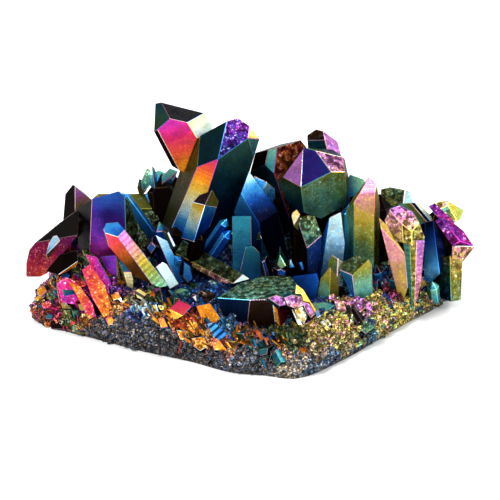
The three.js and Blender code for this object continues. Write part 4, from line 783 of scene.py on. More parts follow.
    (GLARE, (-16.7, -1.7, 18.7), (-18.2, -1.1, 21.7), (-18.6, -1.2, 21.6), (-17.2, -1.9, 18.5)),
    (tint("azure", 0.59, 0.4), (-21.1, -3, 18.9), (-22, -2.5, 20), (-23.1, -3, 18.7), (-22.2, -3.5, 17.5)),
    (film("cobalt", "sky", 0.5, 0.5), (-12.9, -2.7, 11), (-13.5, -2.1, 13.9), (-14.9, -2, 14.9),
     (-15.1, -2.8, 11.8), (-14, -3, 10.2)),
)]

# Small points that stand in the gaps between the crystals. The black and dim ones are painted
# shade: dark bodies set in gaps that lie in shadow.
FILLERS = [
    shade_prism((30, 13, 6), (29.8, 12.5, 26), 5),
    shade_prism((42, 12, 6), (43.2, 11.5, 23), 4),
    prism((42.5, 4, 3), (41.6, 1.5, 8.6), 2.4, sides=film("teal", "mint", 0.8, 0.6),
          tips=film("teal", "mint", 0.9, 0.6)),
    prism((30, 3, 6), (28.6, 0.5, 13.2), 2.6, sides=film("navy", "sky", (0.3, 0.9), 0.4)),
    prism((32, 2, 6), (32.6, -0.6, 11.6), 2.2, sides=film("azure", "teal", 0.7, 0.5)),
    prism((14, -3, 5), (13.4, -5.4, 10.4), 2.2, sides=film("navy", "cobalt", 0.9)),
    prism((6, 0, 6), (7.6, -1.4, 13.5), 2, sides=film("navy", "cobalt", (0.3, 0.9))),
    prism((10, 1, 6), (9.4, 0, 15), 2.6, sides=tint("navy", 0.3, 0.4), tips=film("sky", "ice", 0.9)),
    prism((-22, 2, 7), (-24, 0.6, 17), 2.8, sides=film("azure", "teal", 0.3, 0.5)),
    prism((-19, 4, 7), (-20.6, 5, 22), 3, sides=film("navy", "cobalt", (0.1, 0.7), 0.4)),
    prism((-26, 1, 8), (-27.5, 0, 18), 3, sides=tint("olive", 0.12, 0.9)),
    prism((-21, -4, 6), (-22.6, -6, 12.6), 2.2, sides=film("azure", "mint", 0.6, 0.6)),
    prism((-17, -6, 6), (-18.2, -8.4, 10.8), 2, sides=film("gold", "rose", 0.7, 0.7)),
]

# ---------------------------------------------------------------- facets and convex bodies


def unit(v):
    return v / np.linalg.norm(v, axis=-1, keepdims=True)


AHEAD = 0.88  # cosine past which an axis points too nearly ahead to find the front by that
TINY = 1e-9  # keeps a length from being nothing


def prism_facets(body, pick):
    """The planes of a quartz point as (outward normal, reach, coat): a foot, six sides at even
    angles about the axis, and six end faces that slope down from the tip."""
    root = np.array(body["root"], float)
    tip = np.array(body["tip"], float)
    axis = unit(tip - root)
    ahead = np.array((0, 0, 1.0)) if abs(axis[1]) > AHEAD else np.array((0, -1.0, 0))
    front = unit(ahead - (ahead @ axis) * axis)
    right = np.cross(axis, front)
    coats = body["coats"]
    slope = math.radians(CAP_ANGLE)
    facets = [(-axis, -axis @ root, pick())]
    for k, face in enumerate(FACES):
        angle = math.radians(body["turn"] + SIDE_ANGLE * k)
        out = front * math.cos(angle) + right * math.sin(angle)
        reach = 0.5 * math.hypot(body["width"] * math.sin(angle), body["depth"] * math.cos(angle))
        facets.append((out, out @ root + reach, coats.get(face) or coats.get("sides") or pick()))
        cap = axis * math.cos(slope) + out * math.sin(slope)
        facets.append((cap, cap @ tip, coats.get("tips") or pick()))
    return facets, axis


def cut_facets(body, pick):
    """The planes of a crystal of no regular habit, from each face's bearing, tilt and distance."""
    centre = np.array(body["centre"], float)
    facets = []
    for compass, tilt, distance, *coat in body["faces"]:
        azimuth, rise = math.radians(compass), math.radians(tilt)
        level = math.cos(rise)
        normal = np.array((math.sin(azimuth) * level, -math.cos(azimuth) * level, math.sin(rise)))
        facets.append((normal, normal @ centre + distance, coat[0] if coat else pick()))
    return facets, unit(np.array(body["along"], float))


CHIP_DEPTH = 2.2  # how far a splinter reaches into the druse behind its open face
CHIP_FLARE = 0.3  # how much wider it gets on the way


def chip_facets(body, pick):
    """The planes of a splinter: its open face, a back, and a side through each edge that spreads
    towards the back."""
    corners = np.array(body["corners"])
    middle = corners.mean(0)
    edges = np.roll(corners, -1, 0) - corners
    normal = unit(np.cross(corners - middle, edges).sum(0))
    facets = [
        (normal, normal @ middle, body["coat"]), (-normal, CHIP_DEPTH - normal @ middle, SHADE_BLACK),
        (np.array((0, 0, -1.0)), 0.0, SHADE_BLACK),
    ]
    for corner, side in zip(corners, unit(unit(np.cross(edges, normal)) + CHIP_FLARE * normal)):
        facets.append((side, side @ corner, pick()))
    return facets, unit(edges[0])


SHAPES = {"prism": prism_facets, "cut": cut_facets, "chip": chip_facets}
WELD = 0.2  # corners of a crystal nearer than this are one corner
PARALLEL = 1e-3  # three planes whose normals span less volume than this have no common point
BEHIND = 1e-5  # how far past a plane a corner may lie
ON_PLANE = 2e-3  # a plane this near meets the corner


def corners_of(normals, reaches):
    """The corners of the convex body behind all the planes: the common points of each three
    planes that lie behind every other one, with those that lie close together made one. Also says
    which planes meet at each corner."""
    triples = np.array(list(combinations(range(len(normals)), 3)))
    rows = normals[triples]
    sound = np.abs(np.linalg.det(rows)) > PARALLEL
    points = np.linalg.solve(rows[sound], reaches[triples[sound]][..., None])[..., 0]
    points = points[(points @ normals.T < reaches + BEHIND).all(1)]
    meets = np.abs(points @ normals.T - reaches) < ON_PLANE
    near = np.linalg.norm(points[:, None] - points, axis=2) < WELD
    label = near.argmax(1)
    for _ in range(3):  # a corner's first neighbour may have a first neighbour of its own
        label = label[label]
    groups = [label == first for first in np.unique(label)]
    return np.array([points[g].mean(0) for g in groups]), np.array([meets[g].any(0) for g in groups])


def ring_order(points, normal):
    """The order of points round their middle, anticlockwise seen against the normal."""
    spread = points - points.mean(0)
    side = spread[0] - (spread[0] @ normal) * normal
    return np.argsort(np.arctan2(spread @ np.cross(normal, side), spread @ side))


INSET_MOST = 0.3  # the most that a facet shrinks by, as a share of its half width
SHARPEST = 0.5  # one plus the cosine at a facet's sharpest corner, for the inset


def inset(ring, normal, width):
    """A facet's outline moved inwards by width, or less where the facet is small: each corner
    moves by the sum of its two edges' inward normals over one plus their cosine."""
    along = unit(np.roll(ring, -1, 0) - ring)
    inward = np.cross(normal, along)
    before = np.roll(inward, 1, 0)
    middle = ring.mean(0)
    room = ((middle - ring) * inward).sum(1).min()
    turn = np.maximum(1 + (inward * before).sum(1, keepdims=True), SHARPEST)
    return ring + (inward + before) / turn * min(width, INSET_MOST * room)


WAVES = 5  # plane waves in a swell
PITCHES = (0.7, 1.4)  # how much finer than the given pitch each may be


def waves(points, pitch, seed):
    """A smooth field from -1 to 1: the mean of a few plane waves of about the given pitch, in
    directions and phases drawn from the seed."""
    draw = np.random.default_rng(seed)
    ways = unit(draw.normal(size=(WAVES, 3))) * (draw.uniform(*PITCHES, (WAVES, 1)) * 2 * math.pi / pitch)
    return np.sin(points @ ways.T + draw.uniform(0, 2 * math.pi, WAVES)).mean(1)


EDGE_HIGHLIGHT_GAIN = 1.9  # painted highlight: how much brighter than its facets an edge is painted
EDGE_HIGHLIGHT_LEAST = 0.13  # and the least painted highlight that it gets
EDGE_GRAIN = 0.5  # how much of its facets' grain it has
SHARP_ANGLE = 11  # degrees: facets that meet at more stay crisp


class Skin:
    """Vertices, faces and paint gathered from many grids, to become one mesh."""

    def __init__(self):
        self.points, self.paints, self.faces, self.edges = [], [], [], []
        self.count = 0

    def add(self, points, paints):
        """Takes vertices with their paint, and returns their numbers."""
        first = self.count
        self.points.append(points)
        self.paints.append(paints)
        self.count += len(points)
        return np.arange(first, self.count)

    def face(self, corners, edge=False):
        """Takes faces of one size as an array; edge faces get the painted highlight of an edge."""
        self.faces.append(np.asarray(corners))
        self.edges.append(np.full(len(corners), edge))

    def mesh(self, name, shift, smooth=True):
        """The finished mesh, in the frame. Paint lies on face corners: film order, light, grain
        and bands in one attribute, and the distance along the crystal in another."""
        points = (np.concatenate(self.points) + shift) * MM
        paints = np.concatenate(self.paints)
        sizes = np.concatenate([np.full(len(f), f.shape[1]) for f in self.faces])
        loops = np.concatenate([f.ravel() for f in self.faces])
        edge = np.repeat(np.concatenate(self.edges), sizes)
        mesh = bpy.data.meshes.new(name)
        mesh.vertices.add(len(points))
        mesh.vertices.foreach_set("co", points.astype(np.float32).ravel())
        mesh.loops.add(len(loops))
        mesh.loops.foreach_set("vertex_index", loops.astype(np.int32))
        mesh.polygons.add(len(sizes))
        starts = np.concatenate(([0], np.cumsum(sizes)[:-1]))
        mesh.polygons.foreach_set("loop_start", starts.astype(np.int32))
        mesh.update(calc_edges=True)
        corner = paints[loops]
        # Painted highlight: the bevels along the edges are painted brighter than their facets.
        corner[edge, 1] = corner[edge, 1] * EDGE_HIGHLIGHT_GAIN + EDGE_HIGHLIGHT_LEAST
        corner[edge, 2] *= EDGE_GRAIN
        film_layer = mesh.attributes.new("film", "FLOAT_COLOR", "CORNER")
        film_layer.data.foreach_set("color", corner[:, :4].astype(np.float32).ravel())
        along = mesh.attributes.new("along", "FLOAT", "CORNER")
        along.data.foreach_set("value", corner[:, 4].astype(np.float32))
        mesh.polygons.foreach_set("use_smooth", np.full(len(sizes), smooth))
        if smooth:
            mesh.set_sharp_from_angle(angle=math.radians(SHARP_ANGLE))
        if mesh.validate():
            raise ValueError(f"{name} had faces that Blender refused")
        return mesh


RINGS = np.array((0.2, 0.42, 0.64, 0.82, 0.94, 1.0))  # where a facet's grid lines lie, centre to rim
SEEDS = 1 << 30  # how many swells there are to draw from
SWELL_FADE = 6  # the swell fades towards the rim as 1 - share ** SWELL_FADE
ACROSS = 0.985  # cosine past which the axis pierces a facet, whose colours then run across it


def facet_paint(coat, points, corners, axis):
    """The paint at points of a facet: film order and light run from the low to the high value
    along the axis, from the facet's lowest to its highest corner. Where the low light is the
    smaller, the facet darkens towards the crystal's root: painted shade."""
    low, high, dim, bright, grain, bands, start = coat
    level = corners @ axis
    share = (points @ axis - level.min()) / max(np.ptp(level), TINY)
    share = np.clip((share - start) / (1 - start), 0, 1)
    columns = (low + (high - low) * share, dim + (bright - dim) * share)
    steady = np.ones(len(points))
    return np.column_stack((*columns, steady * grain, steady * bands, points @ axis))


def add_body(skin, body, settings, draw, coat_choices):
    """Adds one crystal. Each facet is a grid of two parameters: round its outline, and out from its
    centre to the rim, point = centre + share * (rim - centre), lifted by a slow swell that fades at
    the rim. A narrow bevel joins neighbouring rims, and a small face closes each corner."""

    def pick():
        return coat_choices[draw.integers(len(coat_choices))]

    facets, axis = SHAPES[body["kind"]](body, pick)
    normals = np.array([f[0] for f in facets])
    reaches = np.array([f[1] for f in facets])
    corners, meets = corners_of(normals, reaches)
    seed = int(draw.integers(SEEDS))
    rims, at_corner = {}, {}
    for f, (normal, _, coat) in enumerate(facets):
        held = np.flatnonzero(meets[:, f])
        if len(held) < 3:
            continue
        held = held[ring_order(corners[held], normal)]
        ring = corners[held]
        narrow = inset(ring, normal, settings.bevel / MM)
        steps = np.ceil(np.linalg.norm(np.roll(ring, -1, 0) - ring, axis=1) / (settings.grid / MM))
        steps = np.maximum(steps, 1).astype(int)
        side = np.repeat(np.arange(len(held)), steps)
        first = np.concatenate(([0], np.cumsum(steps)[:-1]))
        share = (np.arange(len(side)) - first[side]) / steps[side]
        rim = narrow[side] + share[:, None] * (np.roll(narrow, -1, 0) - narrow)[side]
        middle = narrow.mean(0)
        grid = middle + RINGS[:, None, None] * (rim - middle)
        fade = np.repeat(1 - RINGS**SWELL_FADE, len(rim))
        grid = grid.reshape(-1, 3)
        swell = waves(grid, settings.swell_pitch / MM, seed + f) * fade * settings.swell / MM
        grid = np.vstack((middle, grid + normal * swell[:, None]))
        run = np.array((1.0, 0, 0)) if abs(normal @ axis) > ACROSS else axis
        number = skin.add(grid, facet_paint(coat, grid, ring, run))
        rows = number[1:].reshape(len(RINGS), len(rim))
        onward = np.roll(rows, -1, 1)
        skin.face(np.column_stack((np.full(len(rim), number[0]), rows[0], onward[0])))
        quads = np.stack((rows[:-1], rows[1:], onward[1:], onward[:-1]), -1)
        skin.face(quads.reshape(-1, 4))
        for i, (here, there) in enumerate(zip(held, np.roll(held, -1))):
            rims[here, there] = rows[-1][(first[i] + np.arange(steps[i] + 1)) % len(rim)]
            at_corner.setdefault(here, []).append((rows[-1][first[i]], narrow[i]))
    for (a, b), line in rims.items():
        if a < b:
            other = rims[b, a][::-1]
            skin.face(np.column_stack((line[1:], line[:-1], other[:-1], other[1:])), edge=True)
    for here, around in at_corner.items():
        numbers = np.array([n for n, _ in around])
        places = np.array([p for _, p in around])
        outward = unit(normals[meets[here]].mean(0))
        numbers = numbers[ring_order(places, outward)]
        fan = np.column_stack((np.full(len(numbers) - 2, numbers[0]), numbers[1:-1], numbers[2:]))
        skin.face(fan, edge=True)


def frame_shift():
    """How far the frame is moved from the sizes above: the tallest crystal's own lowest corner
    against its node's."""
    lowest = []
    for body in CRYSTALS[0][2]:
        facets, _ = SHAPES[body["kind"]](body, lambda: None)
        corners, _ = corners_of(np.array([f[0] for f in facets]), np.array([f[1] for f in facets]))
        lowest.append(corners.min(0))
    node_low = np.array(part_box(CRYSTALS[0][0])[0]) / MM
    shift = node_low - np.min(lowest, axis=0)
    shift[2] = 0
    return shift


SHIFT = frame_shift()

# ---------------------------------------------------------------- the druse slab

# The outline of the cut underside, corner by corner, as (x, y).
OUTLINE = np.array((
    (-49.5, 0), (-44.5, -5), (-34, -11.5), (-24, -17.5), (-13, -23), (-4, -28.5), (3, -30),
    (10, -31.5), (20, -22.5), (28, -12.5), (36, -2), (42.5, 5.5), (46, 13), (42, 23), (30, 30),
    (14, 33), (-6, 33), (-24, 32), (-39, 27), (-47, 14),
))
# How the slab's surface runs from the outline up the skirt and in over the top, as (share of the
# way out, level): level 0 is the underside, 1 the skirt's rim and 2 the top.
PROFILE = np.array(((1, 0), (1.01, 0.5), (0.97, 1), (0.89, 1.6), (0.77, 2), (0.5, 2), (0.02, 2)))
WALL = 5  # height of the steep skirt at the outline
WALL_LUMPS = 0.25  # how much of that its lumps add or take
FLOOR = 8.5  # height of the dished middle
FLOOR_LUMPS = 0.9  # height of the lumps on it
BANK_SPREAD = 0.7  # a bank falls off as exp(-distance ** 2 / (BANK_SPREAD * radius ** 2))
# The slab's roughness as sizes of value noise: (share of the height, cell in mm, seed).
ROUGHNESS = ((1.4, 3.1, 1), (0.9, 1.3, 2), (0.5, 0.6, 3))
SMOOTH_START = 14  # the roughness is full from 1/14 of the way along the profile
SPAN_STEPS = 40  # points on the outline's curve between two of its corners
# Banks that stand up from the slab's top, and two hollows, as (x, y, radius, height).
BANKS = (
    (-36, 2, 11, 6.5), (-42, 12, 10, 4), (-28, 25, 12, 9), (-6, 27, 13, 6), (16, 25, 12, 7),
    (36, 20, 10, 4), (44, 9, 7, 3.5), (2, -8, 9, -1.5), (-37, -6, 6, 4.5),
    (3, -25, 8, -4),
)
# How the film lies on the druse, as (x, y, z, radius, colour, light, dust): dust is dull matrix.
# The light holds painted light too: the dim zones between the crystals are painted shade, and the
# gold zones with light above 1 are painted light.
ZONES = (
    (-46.5, -1, 7.6, 2.3, "orange", 0.9, 0.1), (-44.1, -3.3, 6.1, 2.3, "teal", 0.5, 0.2),
    (-42.4, -5.2, 5, 2, "crimson", 0.9, 0.1), (-38, -8.6, 7.2, 2.3, "magenta", 1, 0),
    (-45.8, -3.9, 1.9, 2, "scarlet", 0.6, 0.3), (-39.3, -7.7, 3.7, 2, "olive", 0.5, 0.3),
    (-35.8, -9.5, 4, 1.8, "orange", 0.8, 0.2), (-33.3, -11.5, 7.3, 1.8, "orange", 1.1, 0.1),
    (-28.9, -10.3, 8, 2, "orange", 1, 0.3), (-29.5, -6.9, 10.1, 1.8, "violet", 0.7, 0.2),
    (-25.7, -8.4, 8.4, 2, "gold", 0.8, 0.3), (-23.2, -13.4, 7.6, 1.6, "ice", 1.1, 0.1),
    (-24.8, -14.2, 6.5, 1.4, "azure", 0.9, 0.3), (-20.1, -8.6, 8.4, 2, "olive", 0.5, 0.2),
    (-33.5, -11.5, 2.9, 2.7, "azure", 0.55, 0.95), (-26.5, -15.7, 3.1, 2.7, "azure", 0.5, 0.9),
    (-19.7, -19.2, 3.5, 2.7, "indigo", 0.5, 0.95), (-13.1, -22.9, 2.8, 2.7, "bronze", 0.44, 0.9),
    (-7.6, -26.3, 2.7, 2.3, "azure", 0.61, 0.85), (-2.2, -28.7, 2.1, 2.3, "azure", 0.61, 0.9),
    (3.2, -30, 2, 2.3, "cobalt", 0.61, 0.9), (8.1, -30.9, 2.7, 2.3, "yellow", 0.99, 0.85),
    (7.5, -29.8, 4.8, 1.8, "orange", 0.98, 0.5), (-17.6, -16.3, 7.5, 2, "orange", 1, 0.2),
    (-14.2, -19, 7, 1.8, "scarlet", 1, 0.2), (-12, -21.6, 5.8, 2, "orange", 1.1, 0.3),
    (-8.7, -24.6, 4.8, 1.8, "orange", 1.1, 0.4), (-4.3, -26.9, 4.6, 1.6, "orange", 0.9, 0.4),
    (-6.5, -21.8, 7.1, 1.6, "sky", 0.8, 0.2), (0, -24, 5.7, 1.8, "orange", 0.8, 0.4),
    (2.6, -26.2, 5.5, 1.8, "teal", 0.5, 0.2), (5.4, -24.9, 5.6, 1.4, "cobalt", 0.7, 0.2),
    (1.1, -11.1, 2.7, 1.6, "bronze", 0.2, 0.4), (8.7, -24.2, 6.2, 2, "olive", 0.3, 0.2),
    # Painted light: gold ground raised above 1 where the crystals shade it.
    (9, -29.2, 5.7, 1.6, "olive", 0.4, 0.3), (14.2, -20.8, 7.8, 2.3, "gold", 1.72, 0),
    (17.4, -22.1, 6, 2.3, "gold", 1.61, 0.1), (20.9, -17.3, 6.2, 2.3, "gold", 1.84, 0),
    (21.4, -20.2, 3.5, 2, "gold", 1.49, 0.2), (15.1, -26.3, 4.8, 2, "gold", 1.38, 0.3),
    (20.1, -9.6, 8.4, 1.8, "rose", 1.6, 0), (25, -9, 7.4, 1.8, "lilac", 1.6, 0),
    (28.3, -6.1, 7.3, 1.8, "gold", 2.15, 0), (29.1, -9.8, 3.6, 1.8, "gold", 1.86, 0.1),
    (34, -3.8, 3.4, 2, "gold", 2.15, 0), (26.6, -14.2, 1.7, 1.4, "teal", 0.9, 0.3),
    (38.1, 5, 2.6, 2, "gold", 2.15, 0), (41.5, 4.8, 3.4, 1.8, "gold", 1.86, 0.1),
    (43.6, 7.9, 3.3, 1.4, "olive", 0.4, 0.2), (32.9, -1.4, 6.5, 1.6, "crimson", 0.5, 0.2),
    (23, -13.5, 6.9, 1.1, "bronze", 0.1, 0.1), (17.3, -25.3, 2, 1.6, "sky", 0.7, 0.6),
    (22.4, -19.5, 1.2, 1.4, "azure", 0.56, 0.6), (12.9, -29.3, 1, 1.6, "sky", 0.84, 0.7),
    # Painted shade: the dim navy, teal and cobalt zones on the slab's top between the crystals.
    (-22.6, -2.7, 9.6, 2.7, "navy", 0.5, 0), (-15.7, -7.5, 8.4, 2.3, "teal", 0.5, 0.1),
    (4.6, 7, 8.7, 2.7, "navy", 0.35, 0), (15.9, -2, 8, 2.3, "cobalt", 0.6, 0),
    (21.4, -3.4, 8.7, 1.8, "teal", 0.8, 0), (31, 5.3, 8.6, 2.3, "cobalt", 0.6, 0),
    (41.7, 8, 5.8, 1.8, "cobalt", 0.6, 0), (-32, 20, 16, 12, "olive", 0.6, 0.2),
    (0, 30, 10, 14, "teal", 0.6, 0.3), (30, 26, 9, 12, "olive", 0.6, 0.3),
    (-46, 12, 6, 8, "magenta", 0.7, 0.3), (-10, 6, 9, 10, "cobalt", 0.45, 0),
    (10, 4, 8, 10, "azure", 0.3, 0),
    (-40, 24, 2, 6, "azure", 0.6, 0.9), (-15, 32, 2, 9, "bronze", 0.6, 0.9),
    (12, 33, 2, 8, "azure", 0.6, 0.9), (38, 25, 2, 7, "indigo", 0.6, 0.9),
    (46, 12, 2, 5, "bronze", 0.6, 0.9), (-48, 8, 2, 4, "azure", 0.6, 0.9),
    (14, 28, 9, 7, "gold", 0.8, 0.2), (-14, 28, 12, 8, "azure", 0.5, 0.3),
)


def rim_points(count):
    """Points at even steps along the outline: a closed centripetal Catmull-Rom curve through its
    corners, sampled finely and then by length."""
    around = [np.roll(OUTLINE, k, 0) for k in (1, 0, -1, -2)]
    gaps = [np.linalg.norm(b - a, axis=1, keepdims=True) ** 0.5 for a, b in zip(around, around[1:])]
    p0, p1, p2, p3 = around
    d0, d1, d2 = gaps
    leave = ((p1 - p0) / d0 - (p2 - p0) / (d0 + d1) + (p2 - p1) / d1) * d1
    arrive = ((p2 - p1) / d1 - (p3 - p1) / (d1 + d2) + (p3 - p2) / d2) * d1
    t = np.linspace(0, 1, SPAN_STEPS, endpoint=False)[:, None, None]
    curve = (2 * t**3 - 3 * t**2 + 1) * p1 + (t**3 - 2 * t**2 + t) * leave
    curve = curve + (3 * t**2 - 2 * t**3) * p2 + (t**3 - t**2) * arrive
    line = curve.transpose(1, 0, 2).reshape(-1, 2)
    line = np.vstack((line, line[:1]))
    length = np.concatenate(([0], np.cumsum(np.linalg.norm(np.diff(line, axis=0), axis=1))))
    even = np.linspace(0, length[-1], count, endpoint=False)
    return np.column_stack([np.interp(even, length, line[:, k]) for k in (0, 1)])


def lumps(x, y):
    """A smooth bump field: products of sine waves of three sizes, the same as the solid slab's."""
    coarse = np.sin(0.42 * x + 1.3) * np.sin(0.51 * y + 0.4)
    middle = np.sin(0.93 * x - 0.61 * y + 2.1) * np.sin(0.77 * x + 1.07 * y)
    fine = np.sin(1.9 * x + 0.7 * y) * np.sin(1.7 * y - 0.9 * x + 1)
    return 0.5 * coarse + 0.35 * middle + 0.3 * fine


def top_height(x, y):
    """The slab's top: a level floor, plus each bank as a bell of its height and radius."""
    banks = [
        h * np.exp(-((x - bx) ** 2 + (y - by) ** 2) / (BANK_SPREAD * r**2)) for bx, by, r, h in BANKS
    ]
    return FLOOR + sum(banks) + FLOOR_LUMPS * lumps(x, y)


HASH = np.array((374761393, 668265263, 2147483647))  # odd numbers that spread a lattice's corners
HASH_SEED, HASH_MIX = 144665, 1274126177  # and two that tell seeds apart and stir the bits
BITS_32, BITS_16 = 0xFFFFFFFF, 0xFFFF


def hash_noise(points, cell, seed):
    """Value noise from 0 to 1: random values at the corners of a lattice of the given cell size,
    blended smoothly between them."""
    place = points / cell
    low = np.floor(place).astype(np.int64)
    part = place - low
    part = part * part * (3 - 2 * part)
    total = np.zeros(len(points))
    for corner in np.ndindex(2, 2, 2):
        key = (((low + corner) * HASH).sum(1) + seed * HASH_SEED) & BITS_32
        key = ((key ^ (key >> 13)) * HASH_MIX) & BITS_32
        value = ((key ^ (key >> 16)) & BITS_16) / BITS_16
        total += np.where(corner, part, 1 - part).prod(1) * value
    return total


ZONE_CORE = 0.05  # the squared share of its radius within which a zone's hold stays level
ZONE_POWER = -4.0  # and the power of the squared share by which it falls off outside


def zone_weight(points):
    """How strongly each zone holds at each point: a high inverse power of the distance over the
    zone's radius, as a share of all."""
    gap = np.array([((points - z[:3]) ** 2).sum(1) / z[3] ** 2 for z in ZONES])
    weight = (gap + ZONE_CORE) ** ZONE_POWER
    return weight / weight.sum(0)


def zone_pick(points, draw):
    """The zone that each point belongs to, drawn by the zones' weights, so that neighbouring
    colours meet as a scatter and not as a blend."""
    weight = zone_weight(points)
    return (np.cumsum(weight, 0) < draw.uniform(size=len(points))).sum(0).clip(0, len(ZONES) - 1)


ZONE_ORDER = np.array([ORDER[z[4]] for z in ZONES])
ZONE_LIGHT = np.array([z[5] for z in ZONES])
ZONE_DUST = np.array([z[6] for z in ZONES])


UNDERSIDE_LIGHT = 0.25  # painted shade: the share of its light that the druse keeps at the underside
SHADE_HEIGHT = 3.0  # millimetres over which that grows by one


def rim_shade(points):
    """Painted shade: how much of its light the druse keeps, least at the underside and more with height."""
    return np.clip(UNDERSIDE_LIGHT + points[..., 2] / SHADE_HEIGHT, 0, 1)


def slab_grid(settings):
    """The slab's surface as a grid: round the outline, and along a smooth profile from the
    underside's edge up the skirt and in over the top, roughened by three sizes of value noise."""
    spokes, steps = settings.spokes, settings.steps
    outline = rim_points(spokes)
    knots = np.linspace(0, 1, len(PROFILE))
    s = np.linspace(0, 1, steps)
    reach = np.interp(s, knots, PROFILE[:, 0])[:, None]
    level = np.interp(s, knots, PROFILE[:, 1])[:, None]
    x, y = outline[:, 0] * reach, outline[:, 1] * reach
    top = top_height(x, y)
    edge = np.minimum(WALL, top) * (1 + WALL_LUMPS * lumps(2 * x, 2 * y))
    z = np.where(level < 1, level * edge, edge + (level - 1) * (top - edge))
    grid = np.stack((x, y, z), -1)
    ahead = np.roll(grid, -1, 1) - np.roll(grid, 1, 1)
    inward = np.gradient(grid, axis=0)
    normal = np.cross(ahead, inward)
    normal /= np.maximum(np.linalg.norm(normal, axis=2, keepdims=True), TINY)
    flat = grid.reshape(-1, 3)
    rough = sum(share * (hash_noise(flat, cell, seed) - 0.5) for share, cell, seed in ROUGHNESS)
    fade = np.minimum(1, s * SMOOTH_START)[:, None, None]
    grid = grid + normal * rough.reshape(steps, spokes, 1) * settings.roughness_height / MM * fade
    grid[..., 2] = np.maximum(grid[..., 2], 0)
    grid[0, :, 2] = 0
    return grid, normal


ZONE_FRAY = 0.8  # millimetres by which the colours of neighbouring zones mix
SLAB_LIGHTS = (0.3, 1.2)  # the least and the most of its zone's light that a place has
SLAB_ORDER = 0.015  # spread of its place in the film's run of colours
SLAB_GRAIN = 0.8


def slab_skin(settings):
    """The slab: the grid, with a fan that closes its middle on top and the flat cut below."""
    grid, _ = slab_grid(settings)
    steps, spokes, _ = grid.shape
    flat = grid.reshape(-1, 3)
    draw = np.random.default_rng(settings.seed)
    zone = zone_pick(flat + ZONE_FRAY * draw.normal(size=flat.shape), draw)
    light = ZONE_LIGHT[zone] * rim_shade(flat) * draw.uniform(*SLAB_LIGHTS, len(flat))
    order = ZONE_ORDER[zone] + draw.normal(0, SLAB_ORDER, len(flat))
    grain = np.full(len(flat), SLAB_GRAIN)
    paint = np.column_stack((order, light, grain, ZONE_DUST[zone], flat[:, 2]))
    skin = Skin()
    number = skin.add(flat, paint).reshape(steps, spokes)
    onward = np.roll(number, -1, 1)
    quads = np.stack((number[:-1], onward[:-1], onward[1:], number[1:]), -1)
    skin.face(quads.reshape(-1, 4))
    peak, under = skin.add(
        np.array((grid[-1].mean(0), (*grid[0].mean(0)[:2], 0))), np.tile(paint[-1], (2, 1))
    )
    skin.face(np.column_stack((number[-1], onward[-1], np.full(spokes, peak))))
    skin.face(np.column_stack((onward[0], number[0], np.full(spokes, under))))
    return skin


STEEP = 0.9  # cosine past which an axis is too nearly upright to find its sides by the upright
SINK = 0.5  # the share of its length by which a small point reaches into the slab
FOOT_WIDTH = 0.9  # its width there
CAP_LENGTH = 0.55  # the length of its end faces, as a share of its width
UNEVEN = (0.75, 1.2)  # how near and how far from its axis a corner may lie
FACE_LIGHTS = (0.2, 0.55, 1.0, 1.5)  # how much of its zone's light a face may throw back: random tone, with the dimmest and brightest steps as painted shade and painted glints
FACE_ORDER = 0.022  # spread of a face's place in the film's run of colours
FACE_GRAIN = 0.5


def scatter(skin, places, axes, lengths, widths, draw, zone, chances):
    """Adds many small quartz points at once: a six-sided foot, a shoulder ring and a tip, placed
    along each axis, with the corners turned by a random angle. Every face gets paint of its own,
    with one of the four lights, drawn with the given chances: random tone, with painted shade on the
    dimmest faces and painted glints on the brightest."""
    count = len(places)
    helper = np.where(np.abs(axes[:, 2:]) > STEEP, (1.0, 0, 0), (0, 0, 1.0))
    right = unit(np.cross(axes, helper))
    front = np.cross(right, axes)
    angle = draw.uniform(0, 2 * math.pi, (count, 1)) + np.arange(6) * math.pi / 3
    uneven = draw.uniform(*UNEVEN, (count, 6))
    around = np.cos(angle)[..., None] * right[:, None] + np.sin(angle)[..., None] * front[:, None]
    around *= (uneven * widths[:, None] / 2)[..., None]
    foot = places - axes * (SINK * lengths)[:, None]
    shoulder = places + axes * (lengths - CAP_LENGTH * widths)[:, None]
    tip = places + axes * lengths[:, None] + around.mean(1)
    rings = np.stack((foot[:, None] + FOOT_WIDTH * around, shoulder[:, None] + around), 1)
    # Each face has vertices of its own, so that it can have paint of its own.
    turn = np.roll(np.arange(6), -1)
    sides = np.stack((rings[:, 0], rings[:, 0][:, turn], rings[:, 1][:, turn], rings[:, 1]), 2)
    caps = np.stack((rings[:, 1], rings[:, 1][:, turn], np.repeat(tip[:, None], 6, 1)), 2)
    for faces in (sides, caps):
        per = faces.shape[2]
        order = ZONE_ORDER[zone][:, None] + draw.normal(0, FACE_ORDER, (count, 6))
        light = (ZONE_LIGHT[zone] * rim_shade(places))[:, None]
        light = light * draw.choice(FACE_LIGHTS, (count, 6), p=chances)
        grain = np.full((count, 6), FACE_GRAIN)
        dust = np.repeat(ZONE_DUST[zone][:, None], 6, 1)
        paint = np.stack((order, light, grain, dust, np.zeros((count, 6))), -1).reshape(-1, 5)
        number = skin.add(faces.reshape(-1, 3), np.repeat(paint, per, 0))
        skin.face(number.reshape(-1, per))
    base = skin.add(rings[:, 0][:, ::-1].reshape(-1, 3), np.repeat(paint[::6], 6, 0))
    skin.face(base.reshape(-1, 6))


# Where fallen shards lie thickest, as (x, y, radius), and which way they fell.
SHARD_SPOTS = np.array(((-20, -14, 5), (-11, -20, 5.5), (1, -26, 5), (8, -26, 4), (-39, -7, 5)))
SHARD_FALL = np.array((0.7, -0.35, -0.75))
SHARD_UPRIGHT = 0.3  # the share of the surface's own direction that a shard keeps
SHARD_DUST = 0.6  # a zone with this much bare matrix has none
PLACE_SPREAD = 0.12  # millimetres by which a small point stands off the slab's grid
LEAN_SPREAD = 0.45  # spread of its direction


